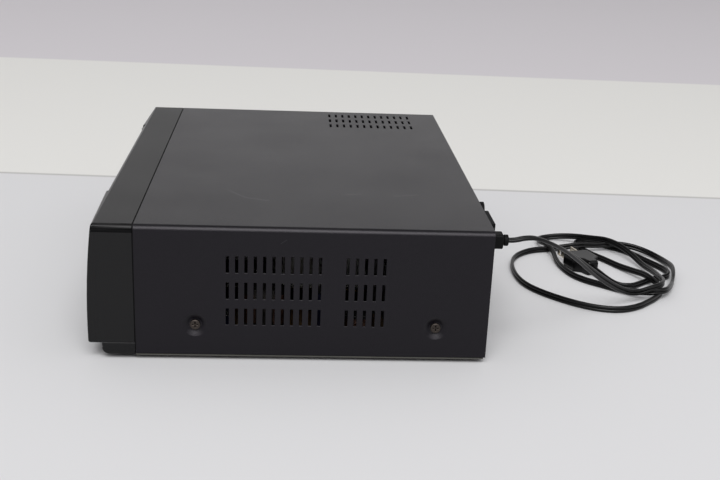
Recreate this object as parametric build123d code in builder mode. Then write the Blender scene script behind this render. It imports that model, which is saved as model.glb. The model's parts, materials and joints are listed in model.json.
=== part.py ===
from build123d import *
import math
import os

os.makedirs("parts", exist_ok=True)

# A front-loading video cassette recorder: a pressed-steel case with a moulded front, and inside it
# a stamped deck that carries the cassette lift, the head drum, the tape path and the reel drive.
# Frame: X to the right seen from the front, -Y out of the front, Z up, origin under the middle.

# ---------------------------------------------------------------- driving dimensions (mm)

# Case
body_width = 360.0
body_height = 97.0
foot_height = 3.0
bezel_depth = 34.0  # moulded front, from its crown back to the cover's front edge
cover_depth = 242.5
jack_reach = 13.5  # how far the sockets and the cord gland stand out behind the cover
tray_sheet = 1.0
cover_sheet = 1.0
cover_radius = 4.0
tray_step = 1.5  # the tray ends this much short of the cover's rear edge
edge_gap = 0.3  # seam between the cover and its neighbours
flange_height = 9.0
foot_radius = 9.0
foot_inset_x = 32.0
foot_inset_front = 22.0
foot_inset_rear = 24.0
foot_draft = 12.0  # degrees
foot_stem_radius = 2.5
foot_stem_height = 1.5  # above the tray
flange_inset = 12.0  # the side flanges stop this short of the tray's ends
screw_tab_width = 16.0
screw_tab_margin = 5.0  # tab above the screw's middle
floor_slot_length = 34.0
floor_slot_width = 3.0
floor_slot_pitch = 9.0
floor_slots = 9
floor_slot_inset = 40.0

# Side screws and their dimples
screw_height = 26.0
front_screw_inset = 40.4  # from the cover's front edge
rear_screw_inset = 36.5  # from the cover's rear edge
screw_head_radius = 3.8
dimple_radius = 6.6
dimple_depth = 1.4
dimple_slope = 1.6  # the dimple's floor is this much smaller in radius than its mouth
shank_radius = 1.4
shank_length = 6.0
screw_draft = 14.0  # degrees
recess_span = 4.2
recess_width = 0.8
recess_depth = 0.9
recess_draft = 10.0  # degrees
rear_screw_xs = (-150.0, -20.0, 130.0)
rear_screw_drop = 5.0  # below the panel's top edge
rear_head_radius = 3.2
rear_head_height = 0.9
rear_recess_span = 3.6
rear_recess_depth = 0.7

# Air slots
slot_width = 2.0
slot_pitch = 6.25
side_slot_height = 12.0
side_slot_rows = 3
side_row_pitch = 19.0
side_slot_mid_z = 51.5
side_slot_start = 62.3  # first slot, from the cover's front edge
side_slots_front = 11
side_slots_rear = 5
top_slot_length = 11.0
top_slot_rows = 3
top_row_pitch = 20.0
top_slots = 13
top_slot_start = 140.2  # first slot, from the cover's front edge
top_slot_inset = 20.5  # outermost row, from the case's left side
panel_slot_x = -95.0
panel_slot_z = 62.0
panel_slot_columns = 16
panel_slot_rows = 2

# Moulded front
front_curve_radius = 570.0  # the face bulges gently from top to bottom
front_curve_mid = 26.0  # height of the foremost line
crown = 1.9  # the inner ends of the side sections stand this far ahead of the corners
door_recess = 1.2
centre_half_width = 103.0
bezel_bottom = 12.0
bezel_wall = 2.6
bezel_top_radius = 1.6
shadow_line_width = 0.9  # rebate between the bezel and the cover
shadow_line_depth = 0.7
skirt_setback = 9.2  # from the corner's foremost line back to the skirt's face
skirt_radius = 4.5
skirt_bottom = 3.6
skirt_line_drop = 3.2  # shadow line below the skirt's top
skirt_line_depth = 0.5
skirt_line_width = 0.6
skirt_pockets = 4
pocket_web = 5.0
pocket_wall = 4.0
front_boss_x = 105.0
front_boss_z = 48.0
front_boss_radius = 3.0
side_boss_zs = (30.0, 80.0)
side_boss_radius = 2.6
overshoot = 1.0  # cuts start this far outside the face they open

# Cassette and its door
cassette_width = 187.0
cassette_depth = 103.0
cassette_height = 25.0
door_width = 199.2
door_bottom = body_height - 38.7
door_top = body_height - 7.3
door_thickness = 2.4
door_gap = 0.5
door_axis_inset = 6.2  # hinge line behind the foremost line
door_axis_drop = 2.2  # hinge line below the door's top edge
door_pin_radius = 1.5
door_pin_root = 3.0  # buried in the door
door_pin_end_gap = 0.2
door_ribs = 5
rib_width = 1.4
rib_depth = 2.4
rib_setback = 0.5
rib_bottom_margin = 4.0
rib_top_margin = 8.0
running_gap = 0.05

# Display
window_width = 143.0
window_bottom = 21.0
window_top = 45.0
window_thickness = 2.0
window_seat = 2.0  # rim of the bezel behind the window's edge
display_width = 96.0
display_height = 17.0
display_depth = 7.0
display_corner = 1.5
display_plate = 2.0  # front glass
display_step = 1.0  # the front glass is this much smaller all round
seal_tip_radius = 2.0  # sealed pumping tip at one end
seal_tip_height = 3.0
seal_tip_foot = 4.0
seal_tip_foot_height = 1.5
board_thickness = 1.6
front_board_bottom = 15.5
front_board_height = 37.0
front_wing_width = 62.0
front_wing_height = 71.0

# Buttons
button_travel = 0.8
button_gap = 0.3
button_proud = 0.8
button_flange = 1.6
button_corner = 1.6
button_edge = 0.6
button_column_share = 0.48  # across a side section, from the centre outwards
section_margin = 25.0
narrow_button_gap = 6.0
flange_margin = 3.0
rocker_neck = 12.0
rocker_pin_reach = 2.5
stem_radius = 2.4
switch_width = 6.2
switch_height = 3.4
switch_cap_radius = 1.7
switch_cap_height = 1.0

# Deck and drum
deck_top = 26.5
deck_sheet = 1.5
deck_half_width = 106.0
deck_front = -104.0
deck_rear = 124.0
deck_post_radius = 4.0
deck_post_inset = 10.0  # from the deck's sides and front
deck_post_inset_rear = 8.0
drum_x = -6.0
drum_y = 85.0
drum_radius = 31.0
drum_tilt = 6.0  # degrees, towards the supply side and the front
drum_base_thickness = 4.5
lower_drum_height = 20.0
upper_drum_height = 15.0
drum_split = 0.3
ledge_height = 43.0
ledge_step = 0.6

# Reel drive
reel_spacing = 92.0
reel_y = -12.0
reel_radius = 20.0
reel_teeth = 36
spindle_radius = 6.8
shaft_radius = 1.5
clutch_y = -30.0
idler_arm_length = 18.0
idler_radius = 20.0
capstan_x = 58.0
capstan_y = 50.0
capstan_radius = 1.5
flywheel_radius = 24.0
pulley_radius = 6.0
clutch_pulley_radius = 9.5
belt_thickness = 1.2

# Tape path
guide_start_y = 31.0
guide_end_y = 97.0
guide_start_offset = 32.0  # from the drum's centre line, sideways
guide_end_offset = 44.0
guide_slot_width = 4.2
pinch_x = 86.0
pinch_y = 51.0
pinch_arm_length = 22.0
pinch_rest_angle = 106.0
pinch_roller_radius = 6.5
tension_x = -84.0
tension_y = 26.0
tension_length = 25.3
tension_rest_angle = 18.4
cam_x = -80.0
cam_y = 84.0
cam_radius = 15.0
cam_teeth = 30

# Cassette lift
lift_in = 44.0  # inward travel
holder_floor = body_height - 37  # underside of the cassette when it is handed over
seat_floor = 36.0  # underside of the cassette on the reel spindles
lift_down = holder_floor - seat_floor
holder_front = -103.0
holder_wall = 1.0
cassette_side_gap = 0.5
slider_thickness = 2.2
lift_gap = 0.4
lift_pin_radius = 2.0
lift_pin_spread = 30.0
bracket_sheet = 1.0
bracket_rear = 46.0
bracket_top = body_height - 6

# Circuit boards
board_z = 9.0
main_left = -body_width / 2 + 8
main_right = 70.0
main_front = -98.0
main_rear = 120.0
power_left = deck_half_width + 7
power_right = body_width / 2 - 6
power_front = -62.0
power_rear = 118.0
board_post_radius = 3.0
board_post_inset = 6.0
board_post_clearance = 6.0  # radius of the main board's cut-outs round the deck's posts

# Rear sockets
panel_thickness = 2.0
panel_foot_inset = 20.0
panel_foot_height = 5.0
panel_foot_depth = 8.0
jack_radius = 4.15
jack_bore = 3.3
jack_pitch = 15.0
jack_well_radius = 6.6
jack_well_depth = 9.0
jack_block_left = 78.0
jack_block_bottom = 48.0
jack_block_width = 32.0
jack_block_height = 32.3
jack_block_depth = 12.0  # inside the case
jack_block_edge = 0.8
jack_boss_height = 4.0
jack_contact_radius = 1.65
jack_contact_depth = 8.0  # beyond the well's floor
sleeve_setback = 0.5
aerial_x = 56.0
aerial_low_z = 50.0
aerial_high_z = 73.3
aerial_radius = 7.0
aerial_bore = 5.2
aerial_sleeve_wall = 0.5
aerial_pin_radius = 1.2
aerial_pin_setback = 4.0
aerial_lip = 1.0

# Mains lead
gland_x = 157.0
gland_z = body_height - 13
gland_block = 10.5
gland_lip = 1.0
gland_knob_radius = 4.0
cord_width = 5.6
plug_length = 30.0
plug_width = 24.0
plug_height = 13.0

# ---------------------------------------------------------------- places worked out from them

front_y = -(bezel_depth + cover_depth + jack_reach) / 2
seam_y = front_y + bezel_depth
rear_y = seam_y + cover_depth
jack_y = rear_y + jack_reach
half_width = body_width / 2
tray_top = foot_height + tray_sheet
tray_rear = rear_y - tray_step
tray_mid_y = (seam_y + tray_rear) / 2
flange_face = half_width - cover_sheet - dimple_depth
screw_ys = (seam_y + front_screw_inset, rear_y - rear_screw_inset)
panel_rear = rear_y - 1.0
panel_front = panel_rear - panel_thickness
panel_bottom = tray_top
panel_top = body_height - cover_sheet - edge_gap
panel_half_width = half_width - cover_sheet - edge_gap
sides = (1, -1)


def face_y(z, behind=0.0):
    """Where the front face is at height z on the crown, or that far behind it."""
    rise = z - front_curve_mid
    bulge = front_curve_radius - math.sqrt(front_curve_radius**2 - rise**2)
    return front_y + bulge + behind


def skin(low, high, behind, thickness):
    """A strip of the curved face between two heights: a flat shape, its own axes being Y and Z."""
    middle = (low + high) / 2
    back = behind + thickness
    with BuildSketch() as strip:
        with BuildLine():
            front = ThreePointArc(
                (face_y(low, behind), low), (face_y(middle, behind), middle), (face_y(high, behind), high)
            )
            rear = ThreePointArc(
                (face_y(low, back), low), (face_y(middle, back), middle), (face_y(high, back), high)
            )
            Line(front @ 0, rear @ 0)
            Line(front @ 1, rear @ 1)
        make_face()
    return strip.sketch_local


def side_view(low, high, behind, corner=0.0):
    """The same curved face closed back to the seam, its front corners rounded."""
    middle = (low + high) / 2
    with BuildSketch() as view:
        with BuildLine():
            face = ThreePointArc(
                (face_y(low, behind), low), (face_y(middle, behind), middle), (face_y(high, behind), high)
            )
            Polyline(face @ 1, (seam_y, high), (seam_y, low), face @ 0)
        make_face()
        if corner:
            fillet(view.vertices().sort_by(Axis.X)[:2], corner)
    return view.sketch_local


def at_y(y):
    """The plane across the case at depth y, its own axes being X and Z."""
    return Plane.XZ.offset(-y)


pieces = {}

# ---------------------------------------------------------------- case

# Tray: flat floor with folded side flanges, screw tabs and posts for the deck
standoff_xs = (-deck_half_width + deck_post_inset, deck_half_width - deck_post_inset)
standoff_ys = (deck_front + deck_post_inset, deck_rear - deck_post_inset_rear)
board_edges = (
    (main_left, main_right, main_front, main_rear),
    (power_left, power_right, power_front, power_rear),
)
with BuildPart() as bottom_tray:
    with BuildSketch(Plane.XY.offset(foot_height)):
        with Locations((0, tray_mid_y)):
            Rectangle(body_width, tray_rear - seam_y)
    extrude(amount=tray_sheet)
    for side in sides:
        with BuildSketch(Plane.YZ.offset(side * flange_face)):
            with Locations((tray_mid_y, foot_height)):
                Rectangle(
                    tray_rear - seam_y - 2 * flange_inset,
                    flange_height,
                    align=(Align.CENTER, Align.MIN),
                )
            for y in screw_ys:
                with Locations((y, foot_height)):
                    Rectangle(
                        screw_tab_width,
                        screw_height + screw_tab_margin,
                        align=(Align.CENTER, Align.MIN),
                    )
        extrude(amount=-side * tray_sheet)
    with BuildSketch(Plane.YZ):
        for y in screw_ys:
            with Locations((y, screw_height)):
                Circle(shank_radius + running_gap)
    extrude(amount=half_width, both=True, mode=Mode.SUBTRACT)
    with BuildSketch(Plane.XY.offset(tray_top)):
        for x in standoff_xs:
            with Locations(*[(x, y) for y in standoff_ys]):
                Circle(deck_post_radius)
    extrude(amount=deck_top - deck_sheet - tray_top)
    with BuildSketch(Plane.XY.offset(tray_top)):
        for left, right, front, rear in board_edges:
            for x in (left + board_post_inset, right - board_post_inset):
                with Locations((x, front + board_post_inset), (x, rear - board_post_inset)):
                    Circle(board_post_radius)
    extrude(amount=board_z - tray_top)
    with BuildSketch(Plane.XY.offset(foot_height)):
        for x in (half_width - floor_slot_inset, floor_slot_inset - half_width):
            with Locations((x, tray_mid_y)):
                with GridLocations(0, floor_slot_pitch, 1, floor_slots):
                    SlotOverall(floor_slot_length, floor_slot_width)
    extrude(amount=tray_sheet, mode=Mode.SUBTRACT)
    with BuildSketch(Plane.XY.offset(foot_height)):
        for x in (foot_inset_x - half_width, half_width - foot_inset_x):
            with Locations((x, seam_y + foot_inset_front), (x, tray_rear - foot_inset_rear)):
                Circle(foot_stem_radius)
    extrude(amount=tray_sheet, mode=Mode.SUBTRACT)
pieces["bottom_tray"] = bottom_tray

# Feet: rubber pads with a stem pushed through the tray
with BuildPart() as feet:
    for x in (foot_inset_x - half_width, half_width - foot_inset_x):
        for y in (seam_y + foot_inset_front, tray_rear - foot_inset_rear):
            with BuildSketch(Plane.XY.offset(foot_height)):
                with Locations((x, y)):
                    Circle(foot_radius)
            extrude(amount=-foot_height, taper=foot_draft)
            with BuildSketch(Plane.XY.offset(foot_height)):
                with Locations((x, y)):
                    Circle(foot_stem_radius - running_gap)
            extrude(amount=tray_sheet + foot_stem_height)
pieces["feet"] = feet

# Cover: one bent sheet, slotted over the power supply and over the heat sink
cover_bottom = tray_top + edge_gap
with BuildPart() as top_cover:
    with BuildSketch(at_y(rear_y)):
        with Locations((0, cover_bottom)):
            outer = Rectangle(body_width, body_height - cover_bottom, align=(Align.CENTER, Align.MIN))
        fillet(outer.vertices().group_by(Axis.Y)[-1], cover_radius)
    extrude(amount=cover_depth)
    with BuildSketch(at_y(rear_y)):
        with Locations((0, cover_bottom)):
            inner = Rectangle(
                body_width - 2 * cover_sheet,
                body_height - cover_bottom - cover_sheet,
                align=(Align.CENTER, Align.MIN),
            )
        fillet(inner.vertices().group_by(Axis.Y)[-1], cover_radius - cover_sheet)
    extrude(amount=cover_depth, mode=Mode.SUBTRACT)
    for side in sides:
        for y in screw_ys:
            dimple = Plane(origin=(side * half_width, y, screw_height), z_dir=(-side, 0, 0))
            with Locations(dimple):
                Cone(
                    dimple_radius + cover_sheet,
                    dimple_radius + cover_sheet - dimple_slope,
                    cover_sheet + dimple_depth,
                    align=(Align.CENTER, Align.CENTER, Align.MIN),
                )
                Cone(
                    dimple_radius,
                    dimple_radius - dimple_slope,
                    dimple_depth,
                    align=(Align.CENTER, Align.CENTER, Align.MIN),
                    mode=Mode.SUBTRACT,
                )
                Cylinder(shank_radius + 2 * running_gap, 2 * shank_length, mode=Mode.SUBTRACT)
    front_group = seam_y + side_slot_start + (side_slots_front - 1) * slot_pitch / 2
    rear_start = side_slot_start + (side_slots_front + 2) * slot_pitch
    rear_group = seam_y + rear_start + (side_slots_rear - 1) * slot_pitch / 2
    with BuildSketch(Plane.YZ.offset(half_width)):
        with Locations((front_group, side_slot_mid_z)):
            with GridLocations(slot_pitch, side_row_pitch, side_slots_front, side_slot_rows):
                Rectangle(slot_width, side_slot_height)
        with Locations((rear_group, side_slot_mid_z)):
            with GridLocations(slot_pitch, side_row_pitch, side_slots_rear, side_slot_rows):
                Rectangle(slot_width, side_slot_height)
    extrude(amount=-2 * cover_sheet, mode=Mode.SUBTRACT)
    top_group_x = top_slot_inset - half_width + (top_slot_rows - 1) * top_row_pitch / 2
    top_group_y = seam_y + top_slot_start + (top_slots - 1) * slot_pitch / 2
    with BuildSketch(Plane.XY.offset(body_height)):
        with Locations((top_group_x, top_group_y)):
            with GridLocations(top_row_pitch, slot_pitch, top_slot_rows, top_slots):
                Rectangle(top_slot_length, slot_width)
    extrude(amount=-2 * cover_sheet, mode=Mode.SUBTRACT)
pieces["top_cover"] = top_cover

# Screws: four in the cover's dimples and three through the rear panel's top edge
with BuildPart() as case_screws:
    for side in sides:
        for y in screw_ys:
            seat = Plane(origin=(side * (half_width - dimple_depth), y, screw_height), z_dir=(side, 0, 0))
            with BuildSketch(seat):
                Circle(screw_head_radius)
            extrude(amount=dimple_depth, taper=screw_draft)
            with BuildSketch(seat):
                Circle(shank_radius)
            extrude(amount=-shank_length)
            with BuildSketch(seat.offset(dimple_depth)):
                Rectangle(recess_span, recess_width)
                Rectangle(recess_width, recess_span)
            extrude(amount=-recess_depth, taper=recess_draft, mode=Mode.SUBTRACT)
    for x in rear_screw_xs:
        seat = Plane(origin=(x, panel_rear, panel_top - rear_screw_drop), z_dir=(0, 1, 0))
        with BuildSketch(seat):
            Circle(rear_head_radius)
        extrude(amount=rear_head_height)
        with BuildSketch(seat):
            Circle(shank_radius)
        extrude(amount=-shank_length)
        with BuildSketch(seat.offset(rear_head_height)):
            Rectangle(rear_recess_span, recess_width)
            Rectangle(recess_width, rear_recess_span)
        extrude(amount=-rear_recess_depth, mode=Mode.SUBTRACT)
pieces["case_screws"] = case_screws

# Rear panel: moulded plate with windows for the sockets, the gland and air
jack_block_mid_x = jack_block_left + jack_block_width / 2
jack_block_mid_z = jack_block_bottom + jack_block_height / 2
aerial_zs = (aerial_low_z, aerial_high_z)
with BuildPart() as rear_panel:
    with BuildSketch(at_y(panel_rear)):
        with Locations((0, panel_bottom)):
            plate = Rectangle(
                2 * panel_half_width, panel_top - panel_bottom, align=(Align.CENTER, Align.MIN)
            )
        fillet(plate.vertices().group_by(Axis.Y)[-1], cover_radius - cover_sheet)
        with Locations((jack_block_mid_x, jack_block_mid_z)):
            Rectangle(jack_block_width, jack_block_height, mode=Mode.SUBTRACT)
        with Locations((gland_x, gland_z)):
            gland_window = gland_block - 2 * gland_lip
            Rectangle(gland_window, gland_window, mode=Mode.SUBTRACT)
        with Locations(*[(aerial_x, z) for z in aerial_zs]):
            Circle(aerial_radius - aerial_lip, mode=Mode.SUBTRACT)
        with Locations(*[(x, panel_top - rear_screw_drop) for x in rear_screw_xs]):
            Circle(shank_radius + running_gap, mode=Mode.SUBTRACT)
        with Locations((panel_slot_x, panel_slot_z)):
            with GridLocations(slot_pitch, side_row_pitch, panel_slot_columns, panel_slot_rows):
                Rectangle(slot_width, side_slot_height, mode=Mode.SUBTRACT)
    extrude(amount=panel_thickness)
    with BuildSketch(at_y(panel_front)):
        with Locations((0, panel_bottom)):
            Rectangle(
                2 * (panel_half_width - panel_foot_inset),
                panel_foot_height,
                align=(Align.CENTER, Align.MIN),
            )
    extrude(amount=panel_foot_depth)
pieces["rear_panel"] = rear_panel

# ---------------------------------------------------------------- moulded front

door_axis_y = front_y + door_axis_inset
door_axis_z = door_top - door_axis_drop
door_half = door_width / 2
door_opening = door_width + 2 * door_gap
throat_half = door_opening / 2
window_opening_gap = 0.1
window_behind = door_recess + 0.6

# Buttons: name, middle across the front, middle height, width and height
section_width = half_width - centre_half_width
button_column = centre_half_width + button_column_share * section_width
wide_button = section_width - section_margin
narrow_button = (wide_button - narrow_button_gap) / 2
button_half_pitch = (wide_button - narrow_button) / 2
button_rows = (76.0, 57.0, 39.5, 24.5)
tall_button = 11.0
low_button = 8.0
buttons = {
    "power_button": (-button_column, button_rows[0], wide_button, tall_button),
    "eject_button": (-button_column, button_rows[1], wide_button, tall_button),
    "channel_button": (-button_column, button_rows[2], wide_button, low_button),
    "play_button": (button_column, button_rows[0], wide_button, tall_button),
    "stop_button": (button_column, button_rows[1], wide_button, tall_button),
    "rewind_button": (button_column - button_half_pitch, button_rows[2], narrow_button, low_button),
    "forward_button": (button_column + button_half_pitch, button_rows[2], narrow_button, low_button),
    "record_button": (button_column - button_half_pitch, button_rows[3], narrow_button, low_button),
    "pause_button": (button_column + button_half_pitch, button_rows[3], narrow_button, low_button),
}
button_back = front_y + 19.5  # rear end of every stem at rest
board_front = button_back + button_travel + button_gap + switch_height
rocker_stem_offset = 18.0

# Bezel: curved shell, crowned side sections, open throat for the cassette
cavity_face = crown + bezel_wall  # inner side of the face, behind the crown
throat_depth = 15.0
throat_wall = 2.0
front_board_half = half_width - 6
boss_x = front_board_half - 2.5


with BuildPart() as front_bezel:
    with BuildSketch(Plane.YZ.offset(-centre_half_width)):
        add(side_view(bezel_bottom, body_height, door_recess, bezel_top_radius))
    extrude(amount=2 * centre_half_width)
    side_run = half_width - centre_half_width
    for side in sides:
        with BuildSketch(Plane.YZ.offset(side * centre_half_width)):
            add(side_view(bezel_bottom, body_height, 0, bezel_top_radius))
        extrude(amount=math.hypot(side_run, crown), dir=(side * side_run, crown, 0))
    with BuildSketch(at_y(seam_y)):
        with Locations((0, bezel_bottom)):
            outline = Rectangle(body_width, body_height - bezel_bottom, align=(Align.CENTER, Align.MIN))
        fillet(outline.vertices().group_by(Axis.Y)[-1], cover_radius)
    extrude(amount=bezel_depth + overshoot, mode=Mode.INTERSECT)
    with BuildSketch(Plane.YZ.offset(bezel_wall - half_width)):
        add(side_view(bezel_bottom + bezel_wall, body_height - bezel_wall, cavity_face))
    extrude(amount=body_width - 2 * bezel_wall, mode=Mode.SUBTRACT)
    # throat walls and floor behind the door, and bosses for the front board
    throat_low = door_bottom - door_gap
    throat_height = body_height - throat_low - 1
    throat_front = front_y + cavity_face - 1
    for side in sides:
        with BuildSketch(Plane.YZ.offset(side * throat_half)):
            with Locations((throat_front, throat_low - throat_wall)):
                Rectangle(throat_depth, throat_height, align=(Align.MIN, Align.MIN))
        extrude(amount=side * throat_wall)
    with BuildSketch(Plane.XY.offset(throat_low - throat_wall)):
        with Locations((0, throat_front)):
            Rectangle(2 * throat_half, throat_depth, align=(Align.CENTER, Align.MIN))
    extrude(amount=throat_wall)
    with BuildSketch(at_y(board_front)):
        with Locations((-front_boss_x, front_boss_z), (front_boss_x, front_boss_z)):
            Circle(front_boss_radius)
        with Locations(*[(side * boss_x, z) for side in sides for z in side_boss_zs]):
            Circle(side_boss_radius)
    extrude(amount=board_front - front_y - cavity_face)
    # mouth, window seat and button holes
    behind_wall = face_y(body_height, cavity_face)
    through_wall = behind_wall - front_y + overshoot
    with BuildSketch(at_y(behind_wall)):
        with Locations((0, (door_bottom + door_top) / 2)):
            Rectangle(door_opening, door_top - door_bottom + 2 * door_gap)
    extrude(amount=through_wall, mode=Mode.SUBTRACT)
    with BuildSketch(Plane.YZ.offset(-window_width / 2 - window_opening_gap)):
        low = window_bottom - window_opening_gap
        high = window_top + window_opening_gap
        add(skin(low, high, -overshoot, overshoot + window_behind + window_thickness))
    extrude(amount=window_width + 2 * window_opening_gap, mode=Mode.SUBTRACT)
    with BuildSketch(at_y(behind_wall)):
        with Locations((0, (window_bottom + window_top) / 2)):
            Rectangle(
                window_width - 2 * window_seat, window_top - window_bottom - 2 * window_seat
            )
        for x, z, width, height in buttons.values():
            with Locations((x, z)):
                RectangleRounded(
                    width + 2 * button_gap, height + 2 * button_gap, button_corner + button_gap
                )
    extrude(amount=through_wall, mode=Mode.SUBTRACT)
    pin_bore_half = throat_half + throat_wall + overshoot
    with BuildSketch(Plane.YZ.offset(-pin_bore_half)):
        with Locations((door_axis_y, door_axis_z)):
            Circle(door_pin_radius + running_gap)
    extrude(amount=2 * pin_bore_half, mode=Mode.SUBTRACT)
    # shadow line: a rebate round the rear edge, against the cover
    with BuildSketch(at_y(seam_y)):
        with Locations((0, bezel_bottom)):
            Rectangle(body_width + overshoot, body_height, align=(Align.CENTER, Align.MIN))
            inner = Rectangle(
                body_width - 2 * shadow_line_depth,
                body_height - bezel_bottom - shadow_line_depth,
                align=(Align.CENTER, Align.MIN),
                mode=Mode.PRIVATE,
            )
        add(inner, mode=Mode.SUBTRACT)
    extrude(amount=shadow_line_width, mode=Mode.SUBTRACT)
pieces["front_bezel"] = front_bezel

# Skirt: low moulding under the bezel, hollow from below, with a shadow line along its face
corner_face = front_y + crown
skirt_face = corner_face + skirt_setback
skirt_rear = seam_y - edge_gap
pocket_pitch = body_width / skirt_pockets
with BuildPart() as front_skirt:
    with BuildSketch(Plane.YZ.offset(-half_width)):
        with Locations((skirt_face, skirt_bottom)):
            section = Rectangle(
                skirt_rear - skirt_face, bezel_bottom - skirt_bottom, align=(Align.MIN, Align.MIN)
            )
        fillet(section.vertices().group_by(Axis.Y)[0].sort_by(Axis.X)[0], skirt_radius)
        with Locations((skirt_face, bezel_bottom - skirt_line_drop)):
            Rectangle(
                skirt_line_depth,
                skirt_line_width,
                align=(Align.MIN, Align.CENTER),
                mode=Mode.SUBTRACT,
            )
    extrude(amount=body_width)
    with BuildSketch(Plane.XY.offset(skirt_bottom)):
        with Locations((0, (skirt_face + skirt_rear) / 2 + 1)):
            with GridLocations(pocket_pitch, 0, skirt_pockets, 1):
                Rectangle(pocket_pitch - pocket_web, skirt_rear - skirt_face - 2 * pocket_wall)
    extrude(amount=bezel_bottom - skirt_bottom - bezel_wall, mode=Mode.SUBTRACT)
pieces["front_skirt"] = front_skirt

# Cassette door: a strip of the curved face with pins at its upper corners and stiffening ribs
with BuildPart() as cassette_door:
    with BuildSketch(Plane.YZ.offset(-door_half)):
        add(skin(door_bottom, door_top, door_recess, door_thickness))
    extrude(amount=door_width)
    rib_y = front_y + door_recess + door_thickness + rib_setback
    with BuildSketch(Plane.XY.offset(door_bottom + rib_bottom_margin)):
        with Locations((0, rib_y)):
            with GridLocations(door_width / (door_ribs + 1), 0, door_ribs, 1):
                Rectangle(rib_width, rib_depth, align=(Align.CENTER, Align.MIN))
    extrude(amount=door_top - door_bottom - rib_bottom_margin - rib_top_margin)
    for side in sides:
        with BuildSketch(Plane.YZ.offset(side * (door_half - door_pin_root))):
            with Locations((door_axis_y, door_axis_z)):
                Circle(door_pin_radius)
        extrude(amount=side * (door_pin_root + door_gap + throat_wall - door_pin_end_gap))
pieces["cassette_door"] = cassette_door

# Window: smoked strip seated in the bezel in front of the display
with BuildPart() as display_window:
    with BuildSketch(Plane.YZ.offset(-window_width / 2)):
        add(skin(window_bottom, window_top, window_behind, window_thickness))
    extrude(amount=window_width)
pieces["display_window"] = display_window

# Display: sealed glass tube on the front board, with its pumping tip at one end
display_mid_z = (window_bottom + window_top) / 2
with BuildPart() as display_module:
    with BuildSketch(at_y(board_front)):
        with Locations((0, display_mid_z)):
            RectangleRounded(display_width, display_height, display_corner)
    extrude(amount=display_depth - display_plate)
    with BuildSketch(at_y(board_front - display_depth + display_plate)):
        with Locations((0, display_mid_z)):
            RectangleRounded(
                display_width - 2 * display_step, display_height - 2 * display_step, display_corner
            )
    extrude(amount=display_plate)
    with BuildSketch(at_y(board_front - seal_tip_height)):
        with Locations((display_width / 2 + seal_tip_radius, display_mid_z)):
            Circle(seal_tip_radius)
    extrude(amount=seal_tip_height)
    with BuildSketch(at_y(board_front - seal_tip_foot_height)):
        with Locations(((display_width + seal_tip_radius) / 2, display_mid_z)):
            Rectangle(seal_tip_foot, seal_tip_foot)
    extrude(amount=seal_tip_foot_height)
pieces["display_module"] = display_module

# Front board: carries the display and a switch behind every button, winged round the throat
with BuildPart() as front_board:
    with BuildSketch(at_y(board_front)):
        with Locations((0, front_board_bottom)):
            Rectangle(2 * front_board_half, front_board_height, align=(Align.CENTER, Align.MIN))
        for side in sides:
            with Locations((side * (front_board_half - front_wing_width / 2), front_board_bottom)):
                Rectangle(front_wing_width, front_wing_height, align=(Align.CENTER, Align.MIN))
    extrude(amount=-board_thickness)
    with BuildSketch(at_y(board_front)):
        for name, (x, z, width, height) in buttons.items():
            spread = 2 * rocker_stem_offset if name == "channel_button" else 0
            with Locations((x, z)):
                with GridLocations(spread, 0, 2 if spread else 1, 1):
                    Rectangle(switch_width, switch_width)
    extrude(amount=switch_height - switch_cap_height)
    with BuildSketch(at_y(board_front - switch_height + switch_cap_height)):
        for name, (x, z, width, height) in buttons.items():
            spread = 2 * rocker_stem_offset if name == "channel_button" else 0
            with Locations((x, z)):
                with GridLocations(spread, 0, 2 if spread else 1, 1):
                    Circle(switch_cap_radius)
    extrude(amount=switch_cap_height)
pieces["front_board"] = front_board


def push_button(x, z, width, height, stems, wide_flange):
    """A button cap with its keeping flange and the stems that reach the switches."""
    cap_y = face_y(z, crown / 2) - button_proud
    flange_y = face_y(z + height / 2 + 2, cavity_face) + button_gap
    with BuildPart() as button:
        with BuildSketch(at_y(flange_y)):
            with Locations((x, z)):
                RectangleRounded(width, height, button_corner)
        extrude(amount=flange_y - cap_y)
        fillet(button.faces().sort_by(Axis.Y)[0].edges(), button_edge)
        with BuildSketch(at_y(flange_y + button_flange)):
            with Locations((x, z)):
                Rectangle(width + flange_margin if wide_flange else rocker_neck, height + flange_margin)
                RectangleRounded(width, height, button_corner)
        extrude(amount=button_flange)
        if not wide_flange:
            with BuildSketch(Plane.XY.offset(z - height / 2 - rocker_pin_reach)):
                with Locations((x, flange_y + button_flange / 2)):
                    Circle(button_flange / 2)
            extrude(amount=height + 2 * rocker_pin_reach)
        with BuildSketch(at_y(button_back)):
            with Locations(*[(x + offset, z) for offset in stems]):
                Circle(stem_radius)
        extrude(amount=button_back - flange_y - button_flange)
    return button


for name, (x, z, width, height) in buttons.items():
    rocking = name == "channel_button"
    stems = (-rocker_stem_offset, rocker_stem_offset) if rocking else (0,)
    pieces[name] = push_button(x, z, width, height, stems, not rocking)

# ---------------------------------------------------------------- rear sockets

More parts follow.
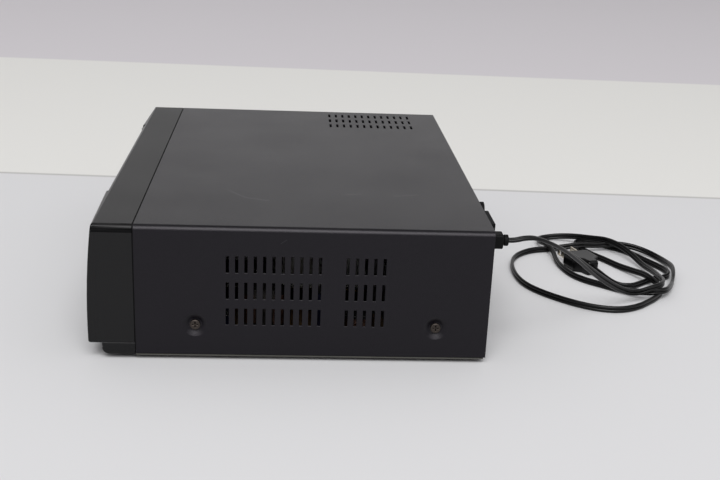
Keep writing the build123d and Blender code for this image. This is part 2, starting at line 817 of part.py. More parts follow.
block_front = panel_front - jack_block_depth
with BuildPart() as av_jack_block:
    with BuildSketch(at_y(jack_y)):
        with Locations((jack_block_mid_x, jack_block_mid_z)):
            Rectangle(jack_block_width, jack_block_height)
    extrude(amount=jack_y - block_front)
    fillet(av_jack_block.faces().sort_by(Axis.Y)[-1].edges(), jack_block_edge)
    with BuildSketch(at_y(jack_y)):
        with Locations((jack_block_mid_x, jack_block_mid_z)):
            with GridLocations(jack_pitch, jack_pitch, 2, 2):
                Circle(jack_well_radius)
    extrude(amount=jack_well_depth, mode=Mode.SUBTRACT)
    with BuildSketch(at_y(jack_y - jack_well_depth + jack_boss_height)):
        with Locations((jack_block_mid_x, jack_block_mid_z)):
            with GridLocations(jack_pitch, jack_pitch, 2, 2):
                Circle(jack_bore)
    extrude(amount=jack_boss_height)
    with BuildSketch(at_y(jack_y)):
        with Locations((jack_block_mid_x, jack_block_mid_z)):
            with GridLocations(jack_pitch, jack_pitch, 2, 2):
                Circle(jack_contact_radius)
    extrude(amount=jack_well_depth + jack_contact_depth, mode=Mode.SUBTRACT)
pieces["av_jack_block"] = av_jack_block

# Socket metalwork: phono sleeves in the wells and the aerial sockets' sleeves and contacts
with BuildPart() as socket_sleeves:
    with BuildSketch(at_y(jack_y - sleeve_setback)):
        with Locations((jack_block_mid_x, jack_block_mid_z)):
            with GridLocations(jack_pitch, jack_pitch, 2, 2):
                Circle(jack_radius)
                Circle(jack_bore, mode=Mode.SUBTRACT)
    extrude(amount=jack_well_depth - sleeve_setback)
    with BuildSketch(at_y(jack_y - sleeve_setback)):
        with Locations(*[(aerial_x, z) for z in aerial_zs]):
            Circle(aerial_bore)
            Circle(aerial_bore - aerial_sleeve_wall, mode=Mode.SUBTRACT)
    extrude(amount=jack_y - sleeve_setback - panel_rear)
    with BuildSketch(at_y(panel_rear)):
        with Locations(*[(aerial_x, z) for z in aerial_zs]):
            Circle(aerial_bore)
    extrude(amount=panel_thickness)
    with BuildSketch(at_y(jack_y - aerial_pin_setback)):
        with Locations(*[(aerial_x, z) for z in aerial_zs]):
            Circle(aerial_pin_radius)
    extrude(amount=jack_y - aerial_pin_setback - panel_rear)
pieces["socket_sleeves"] = socket_sleeves

with BuildPart() as aerial_shells:
    with BuildSketch(at_y(jack_y)):
        with Locations(*[(aerial_x, z) for z in aerial_zs]):
            Circle(aerial_radius)
            Circle(aerial_bore, mode=Mode.SUBTRACT)
    extrude(amount=jack_y - panel_rear)
    with BuildSketch(at_y(panel_rear)):
        with Locations(*[(aerial_x, z) for z in aerial_zs]):
            Circle(aerial_radius - aerial_lip)
            Circle(aerial_bore, mode=Mode.SUBTRACT)
    extrude(amount=panel_thickness)
pieces["aerial_shells"] = aerial_shells

# Tuner: tin-plate can behind the aerial sockets, with a lid pressed into its left side
tuner_width = 26.0
tuner_depth = 24.0
tuner_height = 46.0
tuner_offset = 4.0  # to the right of the aerial sockets
lid_margin = 3.0
lid_recess = 0.6
tuner_x = aerial_x + tuner_offset
tuner_mid_z = (aerial_low_z + aerial_high_z) / 2
with BuildPart() as tuner_can:
    with BuildSketch(at_y(panel_front)):
        with Locations((tuner_x, tuner_mid_z)):
            Rectangle(tuner_width, tuner_height)
    extrude(amount=tuner_depth)
    with BuildSketch(Plane.YZ.offset(tuner_x - tuner_width / 2)):
        with Locations((panel_front - tuner_depth / 2, tuner_mid_z)):
            Rectangle(tuner_depth - 2 * lid_margin, tuner_height - 2 * lid_margin)
    extrude(amount=lid_recess, mode=Mode.SUBTRACT)
pieces["tuner_can"] = tuner_can

# ---------------------------------------------------------------- circuit boards and power supply

with BuildPart() as main_board:
    with BuildSketch(Plane.XY.offset(board_z)):
        with Locations(((main_left + main_right) / 2, (main_front + main_rear) / 2)):
            Rectangle(main_right - main_left, main_rear - main_front)
        with Locations(*[(standoff_xs[0], y) for y in standoff_ys]):
            Circle(board_post_clearance, mode=Mode.SUBTRACT)
    extrude(amount=board_thickness)
pieces["main_board"] = main_board

# Parts on the main board, left of the deck: flat chips, slim packages, coils and small capacitors
board_face = board_z + board_thickness
chip_places = ((main_left + 26, -62), (main_left + 26, -22))
chip_side = 22.0
chip_height = 2.6
hybrid_place = (main_left + 48, -44)
hybrid_size = (12.0, 30.0)
header_place = (main_left + 10, 10)
header_size = (9.0, 34.0)
package_height = 4.0
coil_place = (main_left + 48, -80)
coil_size = (11.0, 10.0)
coil_pitch = 13.0
coil_height = 13.0
small_can_place = (main_left + 8, -84)
small_can_radius = 4.0
small_can_pitch = 14.0
large_can_place = (main_left + 42, 12)
large_can_radius = 5.0
large_can_pitch = 14.0
can_height = 11.0
with BuildPart() as main_components:
    with BuildSketch(Plane.XY.offset(board_face)):
        with Locations(*chip_places):
            Rectangle(chip_side, chip_side)
    extrude(amount=chip_height)
    with BuildSketch(Plane.XY.offset(board_face)):
        with Locations(hybrid_place):
            Rectangle(*hybrid_size)
        with Locations(header_place):
            Rectangle(*header_size)
    extrude(amount=package_height)
    with BuildSketch(Plane.XY.offset(board_face)):
        with Locations(coil_place):
            with GridLocations(0, coil_pitch, 1, 2):
                Rectangle(*coil_size)
    extrude(amount=coil_height)
    with BuildSketch(Plane.XY.offset(board_face)):
        with Locations(small_can_place):
            with GridLocations(0, small_can_pitch, 1, 3):
                Circle(small_can_radius)
        with Locations(large_can_place):
            with GridLocations(large_can_pitch, 0, 2, 1):
                Circle(large_can_radius)
    extrude(amount=can_height)
pieces["main_components"] = main_components

# Heat sinks: finned bar under the top slots and a folded plate in the power supply
sink_x = main_left + 31
sink_y = 66.7
sink_top = 68.0
sink_length = 74.0
sink_core = 5.0
sink_fins = 9
sink_fin_pitch = 9.0
sink_fin_size = (30.0, 2.0)
plate_x = power_left + 6
plate_y = 78.0
plate_height = 44.0
plate_length = 54.0
plate_sheet = 3.0
plate_fins = 6
plate_fin_pitch = 10.0
plate_fin_size = (10.0, 1.6)
plate_fin_offset = 5.0
with BuildPart() as heat_sinks:
    with BuildSketch(Plane.XY.offset(board_face)):
        with Locations((sink_x, sink_y)):
            Rectangle(sink_core, sink_length)
            with GridLocations(0, sink_fin_pitch, 1, sink_fins):
                Rectangle(*sink_fin_size)
    extrude(amount=sink_top - board_face)
    with BuildSketch(Plane.XY.offset(board_face)):
        with Locations((plate_x, plate_y)):
            Rectangle(plate_sheet, plate_length)
        with Locations((plate_x + plate_fin_offset, plate_y)):
            with GridLocations(0, plate_fin_pitch, 1, plate_fins):
                Rectangle(*plate_fin_size)
    extrude(amount=plate_height)
pieces["heat_sinks"] = heat_sinks

with BuildPart() as power_board:
    with BuildSketch(Plane.XY.offset(board_z)):
        with Locations(((power_left + power_right) / 2, (power_front + power_rear) / 2)):
            Rectangle(power_right - power_left, power_rear - power_front)
    extrude(amount=board_thickness)
pieces["power_board"] = power_board

# Transformer: stacked core with its yokes at the foot and the top, and the winding round the limb
transformer_x = power_right - 27
transformer_y = -24.0
foot_yoke = (38.0, 34.0)
top_yoke = (38.0, 14.0)
core_limb = (32.0, 12.0)
winding_size = (20.0, 30.0)
winding_corner = 4.0
yoke_height = 7.0
winding_height = 22.0
with BuildPart() as transformer:
    with BuildSketch(Plane.XY.offset(board_face)):
        with Locations((transformer_x, transformer_y)):
            Rectangle(*foot_yoke)
    extrude(amount=yoke_height)
    with BuildSketch(Plane.XY.offset(board_face + yoke_height)):
        with Locations((transformer_x, transformer_y)):
            Rectangle(*core_limb)
            RectangleRounded(*winding_size, winding_corner)
    extrude(amount=winding_height)
    with BuildSketch(Plane.XY.offset(board_face + yoke_height + winding_height)):
        with Locations((transformer_x, transformer_y)):
            Rectangle(*top_yoke)
    extrude(amount=yoke_height)
pieces["transformer"] = transformer

# Power parts: capacitors, a choke, the mains socket for the lead and the fuse in its clips
reservoir_place = (power_right - 16, 20)
reservoir_radius = 9.0
reservoir_height = 34.0
mains_can_place = (power_right - 39, 26)
mains_can_radius = 7.0
mains_can_height = 28.0
choke_place = (power_right - 18, 42)
choke_size = (22.0, 20.0)
choke_corner = 3.0
mains_socket_place = (power_right - 14, 104)
mains_socket_size = (16.0, 14.0)
choke_height = 18.0
fuse_place = (power_right - 18, 80)
fuse_clip_size = (4.0, 8.0)
fuse_clip_pitch = 20.0
fuse_clip_height = 6.0
fuse_radius = 3.0
fuse_length = 26.0
fuse_height = 9.0  # of its middle, above the board
output_can_places = ((power_right - 14, -50), (power_right - 34, -52))
output_can_radius = 5.0
output_can_height = 16.0
with BuildPart() as power_components:
    with BuildSketch(Plane.XY.offset(board_face)):
        with Locations(reservoir_place):
            Circle(reservoir_radius)
    extrude(amount=reservoir_height)
    with BuildSketch(Plane.XY.offset(board_face)):
        with Locations(mains_can_place):
            Circle(mains_can_radius)
    extrude(amount=mains_can_height)
    with BuildSketch(Plane.XY.offset(board_face)):
        with Locations(choke_place):
            RectangleRounded(*choke_size, choke_corner)
        with Locations(mains_socket_place):
            Rectangle(*mains_socket_size)
    extrude(amount=choke_height)
    with BuildSketch(Plane.XY.offset(board_face)):
        with Locations(fuse_place):
            with GridLocations(fuse_clip_pitch, 0, 2, 1):
                Rectangle(*fuse_clip_size)
    extrude(amount=fuse_clip_height)
    fuse_end = (fuse_place[0] - fuse_length / 2, fuse_place[1], board_face + fuse_height)
    with BuildSketch(Plane(origin=fuse_end, z_dir=(1, 0, 0))):
        Circle(fuse_radius)
    extrude(amount=fuse_length)
    with BuildSketch(Plane.XY.offset(board_face)):
        with Locations(*output_can_places):
            Circle(output_can_radius)
    extrude(amount=output_can_height)
pieces["power_components"] = power_components

# ---------------------------------------------------------------- deck

capstan_boss_radius = 4.5
supply_slot = ((drum_x - guide_start_offset, guide_start_y), (drum_x - guide_end_offset, guide_end_y))
takeup_slot = ((drum_x + guide_start_offset, guide_start_y), (drum_x + guide_end_offset, guide_end_y))
post_radius = 2.0
fixed_posts = {
    "pinch": (pinch_x, pinch_y, 34.5),
    "tension": (tension_x, tension_y, 30.0),
    "cam": (cam_x, cam_y, 42.5),
}
reel_xs = (-reel_spacing / 2, reel_spacing / 2)
reel_shaft_top = 44.0
deck_mid_y = (deck_front + deck_rear) / 2
with BuildPart() as deck_plate:
    with BuildSketch(Plane.XY.offset(deck_top - deck_sheet)):
        with Locations((0, deck_mid_y)):
            RectangleRounded(2 * deck_half_width, deck_rear - deck_front, 3)
        for start, end in (supply_slot, takeup_slot):
            middle = ((start[0] + end[0]) / 2, (start[1] + end[1]) / 2)
            run = math.hypot(end[0] - start[0], end[1] - start[1])
            turn = math.degrees(math.atan2(end[1] - start[1], end[0] - start[0]))
            with Locations(Location(middle, turn)):
                SlotCenterToCenter(run + 0.8, guide_slot_width, mode=Mode.SUBTRACT)
        with Locations((0, -80)):
            with GridLocations(56, 0, 3, 1):
                RectangleRounded(40, 18, 4, mode=Mode.SUBTRACT)
        with Locations((-82, -30), (82, -30)):
            RectangleRounded(14, 44, 4, mode=Mode.SUBTRACT)
    extrude(amount=deck_sheet)
    with BuildSketch(Plane.XY.offset(deck_top - deck_sheet - 5)):
        with Locations((0, deck_front + deck_sheet / 2), (0, deck_rear - deck_sheet / 2)):
            Rectangle(2 * deck_half_width - 40, deck_sheet)
    extrude(amount=5)
    for x, y, top in fixed_posts.values():
        with BuildSketch(Plane.XY.offset(deck_top)):
            with Locations((x, y)):
                Circle(post_radius)
        extrude(amount=top - deck_top)
    with BuildSketch(Plane.XY.offset(deck_top)):
        with Locations(*[(x, reel_y) for x in reel_xs]):
            Circle(shaft_radius)
    extrude(amount=reel_shaft_top - deck_top)
    with BuildSketch(Plane.XY.offset(deck_top)):
        with Locations((capstan_x, capstan_y)):
            Circle(capstan_boss_radius)
    extrude(amount=3)
    with BuildSketch(Plane.XY.offset(deck_top - deck_sheet - 1)):
        with Locations((capstan_x, capstan_y), (0, clutch_y)):
            Circle(shaft_radius + running_gap)
    extrude(amount=8, mode=Mode.SUBTRACT)
pieces["deck_plate"] = deck_plate

# ---------------------------------------------------------------- head drum

# Base casting: round seat with two arms that end in notched stops for the guides
base_top = deck_top + drum_base_thickness
stop_y = guide_end_y + 6.8
stop_xs = (supply_slot[1][0], takeup_slot[1][0])
with BuildPart() as drum_base:
    with BuildSketch(Plane.XY.offset(deck_top)):
        with Locations((drum_x, drum_y)):
            Circle(drum_radius + 3)
        with Locations((drum_x, stop_y)):
            Rectangle(2 * guide_end_offset + 16, 12, align=(Align.CENTER, Align.MIN))
    extrude(amount=drum_base_thickness)
    with BuildSketch(Plane.XY.offset(base_top)):
        for x in stop_xs:
            with Locations((x, stop_y)):
                Rectangle(15, 8, align=(Align.CENTER, Align.MIN))
                RegularPolygon(4, 4, mode=Mode.SUBTRACT)
    extrude(amount=12)
    with BuildSketch(Plane.XY.offset(base_top)):
        with Locations((drum_x, stop_y + 6)):
            with GridLocations(52, 0, 2, 1):
                Circle(3)
    extrude(amount=1.6)
pieces["drum_base"] = drum_base

tilt = math.radians(drum_tilt)
drum_axis = (-math.sin(tilt) / math.sqrt(2), -math.sin(tilt) / math.sqrt(2), math.cos(tilt))
drum_plane = Plane(origin=(drum_x, drum_y, base_top), z_dir=drum_axis)
spindle_bore = 3.0

# Lower drum: fixed, its level ledge guides the tape's lower edge round the tilted cylinder
with BuildPart() as lower_drum:
    with BuildSketch(drum_plane.offset(-5)):
        Circle(drum_radius + ledge_step)
    extrude(amount=lower_drum_height + 5)
    split(bisect_by=Plane.XY.offset(ledge_height), keep=Keep.BOTTOM)
    with BuildSketch(drum_plane.offset(-5)):
        Circle(drum_radius)
    extrude(amount=lower_drum_height + 5)
    split(bisect_by=Plane.XY.offset(base_top), keep=Keep.TOP)
    with BuildSketch(drum_plane.offset(lower_drum_height)):
        Circle(spindle_bore + running_gap)
    extrude(amount=-12, mode=Mode.SUBTRACT)
pieces["lower_drum"] = lower_drum

# Upper drum: spins on its spindle, dished on top, with windows for the heads in its lower rim
upper_plane = drum_plane.offset(lower_drum_height + drum_split)
with BuildPart() as upper_drum:
    with BuildSketch(upper_plane):
        Circle(drum_radius)
    extrude(amount=upper_drum_height)
    with BuildSketch(upper_plane.offset(upper_drum_height)):
        Circle(drum_radius - 3)
        Circle(11, mode=Mode.SUBTRACT)
    extrude(amount=-5, mode=Mode.SUBTRACT)
    with BuildSketch(upper_plane.offset(upper_drum_height - 5)):
        with PolarLocations(20, 4):
            Circle(4)
    extrude(amount=-4, mode=Mode.SUBTRACT)
    with BuildSketch(upper_plane.offset(upper_drum_height)):
        with PolarLocations(7, 2):
            Circle(1.6)
    extrude(amount=-2, mode=Mode.SUBTRACT)
    with BuildSketch(upper_plane):
        with PolarLocations(drum_radius, 4, start_angle=20):
            Rectangle(5, 4)
    extrude(amount=2.4, mode=Mode.SUBTRACT)
    with BuildSketch(upper_plane):
        Circle(spindle_bore)
    extrude(amount=-10)
    fillet(upper_drum.faces().sort_by(Axis.Z)[-1].edges().sort_by(SortBy.LENGTH)[-1], 0.8)
pieces["upper_drum"] = upper_drum

# ---------------------------------------------------------------- tape path


def tape_guide(start, lean):
    """A sliding guide: keel under the deck, round base, flanged roller and a slanted pole beside it."""
    x, y = start
    with BuildPart() as guide:
        with BuildSketch(Plane.XY.offset(deck_top + lift_gap)):
            with Locations((x, y)):
                Circle(6.5)
        extrude(amount=3)
        with BuildSketch(Plane.XY.offset(deck_top + lift_gap)):
            with Locations((x, y)):
                Circle(guide_slot_width / 2 - 0.3)
        extrude(amount=-(deck_sheet + 2 * lift_gap))
        with BuildSketch(Plane.XY.offset(deck_top - deck_sheet - lift_gap)):
            with Locations((x, y)):
                Circle(4)
        extrude(amount=-2.4)
        with BuildSketch(Plane.XZ.offset(-y)):
            with BuildLine():
                Polyline(
                    (x, deck_top + 3), (x + 1.5, deck_top + 3), (x + 1.5, 34), (x + 4, 34), (x + 4, 35),
                    (x + 3.2, 35), (x + 3.2, 53), (x + 4, 53), (x + 4, 54), (x + 1.2, 54), (x + 1.2, 56),
                    (x, 56), (x, deck_top + 3),
                )
            make_face()
        revolve(axis=Axis((x, y, 0), (0, 0, 1)))
        pole = Plane(origin=(x + lean * 4.6, y, deck_top + 3), z_dir=(lean * 0.14, -0.1, 1))
        with BuildSketch(pole):
            Circle(1.2)
        extrude(amount=22)
    return guide


pieces["supply_guide"] = tape_guide(supply_slot[0], -1)
pieces["takeup_guide"] = tape_guide(takeup_slot[0], 1)

head_y = 60.0
with BuildPart() as erase_head:
    with BuildSketch(Plane.XY.offset(deck_top)):
        with Locations((-66, head_y + 1)):
            RectangleRounded(15, 12, 2)
    extrude(amount=4)
    with BuildSketch(Plane.XY.offset(deck_top + 4)):
        with Locations((-65, head_y + 1)):
            RectangleRounded(9, 10, 2.4)
    extrude(amount=24)
pieces["erase_head"] = erase_head

audio_x = 52.0
audio_y = 76.0
with BuildPart() as audio_head:
    with BuildSketch(Plane.XY.offset(deck_top)):
        with Locations((audio_x, audio_y)):
            RectangleRounded(19, 15, 2)
    extrude(amount=2)
    with BuildSketch(Plane.XY.offset(deck_top + 2)):
        with Locations((audio_x - 6, audio_y - 4.5), (audio_x + 6.5, audio_y)):
            Circle(1.6)
    extrude(amount=5)
    with BuildSketch(Plane.XY.offset(deck_top + 2)):
        with Locations((audio_x, audio_y + 1)):
            RectangleRounded(12, 10, 2.4)
    extrude(amount=24)
    with BuildSketch(Plane.XY.offset(deck_top + 26)):
        with Locations((audio_x, audio_y + 1)):
            Rectangle(8, 6)
    extrude(amount=3)
pieces["audio_head"] = audio_head

# Capstan: ground shaft with the flywheel and the belt pulley pressed on under the deck
belt_z = 20.0
flywheel_bottom = 12.5
with BuildPart() as capstan_shaft:
    with BuildSketch(Plane.XY.offset(flywheel_bottom)):
        with Locations((capstan_x, capstan_y)):
            Circle(capstan_radius)
    extrude(amount=58 - flywheel_bottom)
    chamfer(capstan_shaft.faces().sort_by(Axis.Z)[-1].edges(), 0.4)
pieces["capstan_shaft"] = capstan_shaft

with BuildPart() as flywheel:
    with BuildSketch(Plane.XZ.offset(-capstan_y)):
        with BuildLine():
            Polyline(
                (capstan_x + capstan_radius, flywheel_bottom + 1),
                (capstan_x + 8, flywheel_bottom + 1),
                (capstan_x + 8, flywheel_bottom + 2.5),
                (capstan_x + flywheel_radius - 5, flywheel_bottom + 2.5),
                (capstan_x + flywheel_radius - 5, flywheel_bottom),
                (capstan_x + flywheel_radius, flywheel_bottom),
                (capstan_x + flywheel_radius, belt_z - 2),
                (capstan_x + pulley_radius + 1, belt_z - 2),
                (capstan_x + pulley_radius + 1, belt_z - 1),
                (capstan_x + pulley_radius, belt_z - 0.7),
                (capstan_x + pulley_radius, belt_z + belt_thickness + 0.7),
                (capstan_x + pulley_radius + 1, belt_z + belt_thickness + 1),
                (capstan_x + pulley_radius + 1, belt_z + belt_thickness + 1.6),
                (capstan_x + capstan_radius, belt_z + belt_thickness + 1.6),
                close=True,
            )
        make_face()
    revolve(axis=Axis((capstan_x, capstan_y, 0), (0, 0, 1)))
pieces["flywheel"] = flywheel

# Pinch arm and its rubber roller, swung clear of the capstan at rest
pinch_angle = math.radians(pinch_rest_angle)
roller_x = pinch_x + pinch_arm_length * math.cos(pinch_angle)
roller_y = pinch_y + pinch_arm_length * math.sin(pinch_angle)
pinch_mid = ((pinch_x + roller_x) / 2, (pinch_y + roller_y) / 2)
with BuildPart() as pinch_arm:
    with BuildSketch(Plane.XY.offset(deck_top + 3.5)):
        with Locations(Location(pinch_mid, pinch_rest_angle)):
            SlotCenterToCenter(pinch_arm_length, 7)
        with Locations((pinch_x, pinch_y)):
            Circle(4.5)
    extrude(amount=2)
    with BuildSketch(Plane.XY.offset(deck_top + 5.5)):
        with Locations((pinch_x, pinch_y)):
            Circle(3.6)
    extrude(amount=2)
    with BuildSketch(Plane.XY.offset(deck_top + 3.5)):
        with Locations((pinch_x, pinch_y)):
            Circle(post_radius + running_gap)
    extrude(amount=4, mode=Mode.SUBTRACT)
    with BuildSketch(Plane.XY.offset(deck_top + 5.5)):
        with Locations((roller_x, roller_y)):
            Circle(1.5)
    extrude(amount=24)
    with BuildSketch(Plane.XY.offset(54.4)):
        with Locations((roller_x, roller_y)):
            Circle(3)
    extrude(amount=1.4)
pieces["pinch_arm"] = pinch_arm

with BuildPart() as pinch_roller:
    with BuildSketch(Plane.XY.offset(36)):
        with Locations((roller_x, roller_y)):
            Circle(pinch_roller_radius)
            Circle(1.5 + running_gap, mode=Mode.SUBTRACT)
    extrude(amount=18)
    chamfer(pinch_roller.faces().sort_by(Axis.Z)[-1].edges().sort_by(SortBy.LENGTH)[-1], 0.5)
pieces["pinch_roller"] = pinch_roller

# Tension arm with its pole, ahead of the supply side's mouth
tension_angle = math.radians(tension_rest_angle)
pole_x = tension_x + tension_length * math.cos(tension_angle)
pole_y = tension_y + tension_length * math.sin(tension_angle)
tension_mid = ((tension_x + pole_x) / 2, (tension_y + pole_y) / 2)
with BuildPart() as tension_arm:
    with BuildSketch(Plane.XY.offset(deck_top + 0.8)):
        with Locations(Location(tension_mid, tension_rest_angle)):
            SlotCenterToCenter(tension_length, 5)
        with Locations((tension_x, tension_y)):
            Circle(4)
            Circle(post_radius + running_gap, mode=Mode.SUBTRACT)
    extrude(amount=1.6)
    with BuildSketch(Plane.XY.offset(deck_top + 2.4)):
        with Locations((pole_x, pole_y)):
            Circle(1.5)
    extrude(amount=24)
    for z in (33, 52):
        with BuildSketch(Plane.XY.offset(z)):
            with Locations((pole_x, pole_y)):
                Circle(2.8)
        extrude(amount=1)
pieces["tension_arm"] = tension_arm

# ---------------------------------------------------------------- reel drive


def toothed_outline(radius, teeth, depth):
    """A gear's outline: a disc with straight-flanked teeth round it."""
    with BuildSketch() as outline:
        Circle(radius - depth)
        with PolarLocations(radius - depth, teeth):
            with Locations((depth / 2 - 0.15, 0)):
                Rectangle(depth + 0.3, math.pi * radius / teeth)
    return outline.sketch_local


def reel_table(x):
    """A reel table: toothed disc, hub with three splines and a bore on the deck's shaft."""
    with BuildPart() as table:
        with BuildSketch(Plane.XY.offset(deck_top + 1)):
            with Locations((x, reel_y)):
                add(toothed_outline(reel_radius, reel_teeth, 1.4))
        extrude(amount=3)
        with BuildSketch(Plane.XY.offset(deck_top + 4)):
            with Locations((x, reel_y)):
                Circle(reel_radius - 6)
        extrude(amount=1.6)
        with BuildSketch(Plane.XY.offset(deck_top + 5.6)):
            with Locations((x, reel_y)):
                Circle(spindle_radius)
                with PolarLocations(spindle_radius, 3, start_angle=30):
                    Rectangle(4, 2.4)
        extrude(amount=15)
        with BuildSketch(Plane.XY.offset(deck_top + 20.6)):
            with Locations((x, reel_y)):
                Circle(spindle_radius - 0.6)
        extrude(amount=3, taper=30)
        with BuildSketch(Plane.XY.offset(deck_top + 1)):
            with Locations((x, reel_y)):
                Circle(shaft_radius + running_gap)
        extrude(amount=reel_shaft_top - deck_top, mode=Mode.SUBTRACT)
    return table


pieces["supply_reel"] = reel_table(reel_xs[0])
pieces["takeup_reel"] = reel_table(reel_xs[1])

# Clutch pulley under the deck, its shaft through the deck carries the idler arm
clutch_shaft_top = deck_top + 2.6
with BuildPart() as clutch_pulley:
    with BuildSketch(Plane.XZ.offset(-clutch_y)):
        with BuildLine():
            Polyline(
                (0, belt_z - 1.6),
                (clutch_pulley_radius + 1, belt_z - 1.6),
                (clutch_pulley_radius + 1, belt_z - 1),
                (clutch_pulley_radius, belt_z - 0.7),
                (clutch_pulley_radius, belt_z + belt_thickness + 0.7),
                (clutch_pulley_radius + 1, belt_z + belt_thickness + 1),
                (clutch_pulley_radius + 1, belt_z + belt_thickness + 1.6),
                (shaft_radius, belt_z + belt_thickness + 1.6),
                (shaft_radius, clutch_shaft_top),
                (0, clutch_shaft_top),
                close=True,
            )
        make_face()
    revolve(axis=Axis((0, clutch_y, 0), (0, 0, 1)))
pieces["clutch_pulley"] = clutch_pulley

idler_x = 0.0
idler_y = clutch_y + idler_arm_length
with BuildPart() as idler_arm:
    with BuildSketch(Plane.XY.offset(deck_top + 0.4)):
        with Locations(Location((0, (clutch_y + idler_y) / 2), 90)):
            SlotCenterToCenter(idler_arm_length, 8)
        with Locations((0, clutch_y)):
            Circle(shaft_radius + running_gap, mode=Mode.SUBTRACT)
    extrude(amount=1.6)
    with BuildSketch(Plane.XY.offset(deck_top + 2)):
        with Locations((idler_x, idler_y)):
            Circle(1.5)
    extrude(amount=5)
pieces["idler_arm"] = idler_arm

with BuildPart() as idler_gear:
    with BuildSketch(Plane.XY.offset(deck_top + 3)):
        with Locations((idler_x, idler_y)):
            add(toothed_outline(idler_radius, reel_teeth, 1.4))
    extrude(amount=2.4)
    with BuildSketch(Plane.XY.offset(deck_top + 5.4)):
        with Locations((idler_x, idler_y)):
            Circle(4)
    extrude(amount=0.6)
    with BuildSketch(Plane.XY.offset(deck_top + 3)):
        with Locations((idler_x, idler_y)):
            Circle(1.5 + running_gap)
            with PolarLocations(10.5, 4):
                Circle(4.4)
    extrude(amount=3, mode=Mode.SUBTRACT)
pieces["idler_gear"] = idler_gear

# Rubber belt round both pulleys: two arcs and their outer tangents
belt_run = math.hypot(capstan_x, capstan_y - clutch_y)
belt_heading = math.degrees(math.atan2(capstan_y - clutch_y, capstan_x))
near_radius = clutch_pulley_radius + 0.1
far_radius = pulley_radius + 0.1
belt_lean = math.asin((near_radius - far_radius) / belt_run)


def belt_outline(extra):
    """The loop round the two pulleys in the axes of its own run, from the clutch to the capstan."""
    near = near_radius + extra
    far = far_radius + extra
    across = math.cos(belt_lean)
    along = math.sin(belt_lean)
    with BuildSketch() as loop:
        with BuildLine():
            near_side = ThreePointArc(
                (near * along, near * across), (-near, 0), (near * along, -near * across)
            )
            far_side = ThreePointArc(
                (belt_run + far * along, -far * across),
                (belt_run + far, 0),
                (belt_run + far * along, far * across),
            )
            Line(near_side @ 1, far_side @ 0)
            Line(far_side @ 1, near_side @ 0)
        make_face()
    return loop.sketch_local


with BuildPart() as drive_belt:
    with BuildSketch(Plane.XY.offset(belt_z)):
        with Locations(Location((0, clutch_y), belt_heading)):
            add(belt_outline(belt_thickness))
            add(belt_outline(0), mode=Mode.SUBTRACT)
    extrude(amount=belt_thickness)
pieces["drive_belt"] = drive_belt

# ---------------------------------------------------------------- loading drive

worm_radius = 3.4
worm_z = 38.5
worm_x = cam_x - cam_radius - worm_radius - button_gap
with BuildPart() as cam_gear:
    with BuildSketch(Plane.XY.offset(36)):
        with Locations((cam_x, cam_y)):
            add(toothed_outline(cam_radius, cam_teeth, 1.3))
    extrude(amount=5)
    with BuildSketch(Plane.XY.offset(deck_top + 0.4)):
        with Locations((cam_x, cam_y)):
            Circle(5)
    extrude(amount=36 - deck_top - 0.4)
    with BuildSketch(Plane.XY.offset(41)):
        with Locations((cam_x, cam_y)):
            Circle(11)
            with Locations((3, 0)):
                Circle(7, mode=Mode.SUBTRACT)
    extrude(amount=-2.4, mode=Mode.SUBTRACT)
    with BuildSketch(Plane.XY.offset(deck_top)):
        with Locations((cam_x, cam_y)):
            Circle(post_radius + running_gap)
    extrude(amount=20, mode=Mode.SUBTRACT)
pieces["cam_gear"] = cam_gear

motor_radius = 9.0
motor_front = 97.6
motor_length = 24.0
with BuildPart() as loading_motor:
    with BuildSketch(Plane.XY.offset(deck_top)):
        with Locations((worm_x, 73.0)):
            Rectangle(9, motor_front + 14 - 73.0, align=(Align.CENTER, Align.MIN))
    extrude(amount=1.2)
    for y in (73.0, motor_front - 1.2):
        with BuildSketch(at_y(y)):
            with Locations((worm_x, deck_top)):
                Rectangle(9, worm_z + 5 - deck_top, align=(Align.CENTER, Align.MIN))
        extrude(amount=-1.2)
    with BuildSketch(at_y(motor_front)):
        with Locations((worm_x, worm_z)):
            Circle(motor_radius)
            Rectangle(2 * motor_radius, 2 * motor_radius - 4, mode=Mode.INTERSECT)
    extrude(amount=-motor_length)
    with BuildSketch(at_y(motor_front + motor_length)):
        with Locations((worm_x, worm_z)):
            Circle(3)
    extrude(amount=-1.2)
    with BuildSketch(at_y(72)):
        with Locations((worm_x, worm_z)):
            Circle(1 + running_gap)
    extrude(amount=-(motor_front + 2 - 72), mode=Mode.SUBTRACT)
pieces["loading_motor"] = loading_motor

with BuildPart() as loading_worm:
    with BuildSketch(at_y(72.6)):
        with Locations((worm_x, worm_z)):
            Circle(1)
    extrude(amount=-(motor_front + 1 - 72.6))
    with BuildSketch(at_y(76)):
        with Locations((worm_x, worm_z)):
            Circle(worm_radius - 1)
    extrude(amount=-14)
    for turn in range(6):
        with BuildSketch(at_y(76.2 + 2.3 * turn)):
            with Locations((worm_x, worm_z)):
                Circle(worm_radius)
        extrude(amount=-1.1)
pieces["loading_worm"] = loading_worm

# ---------------------------------------------------------------- cassette lift

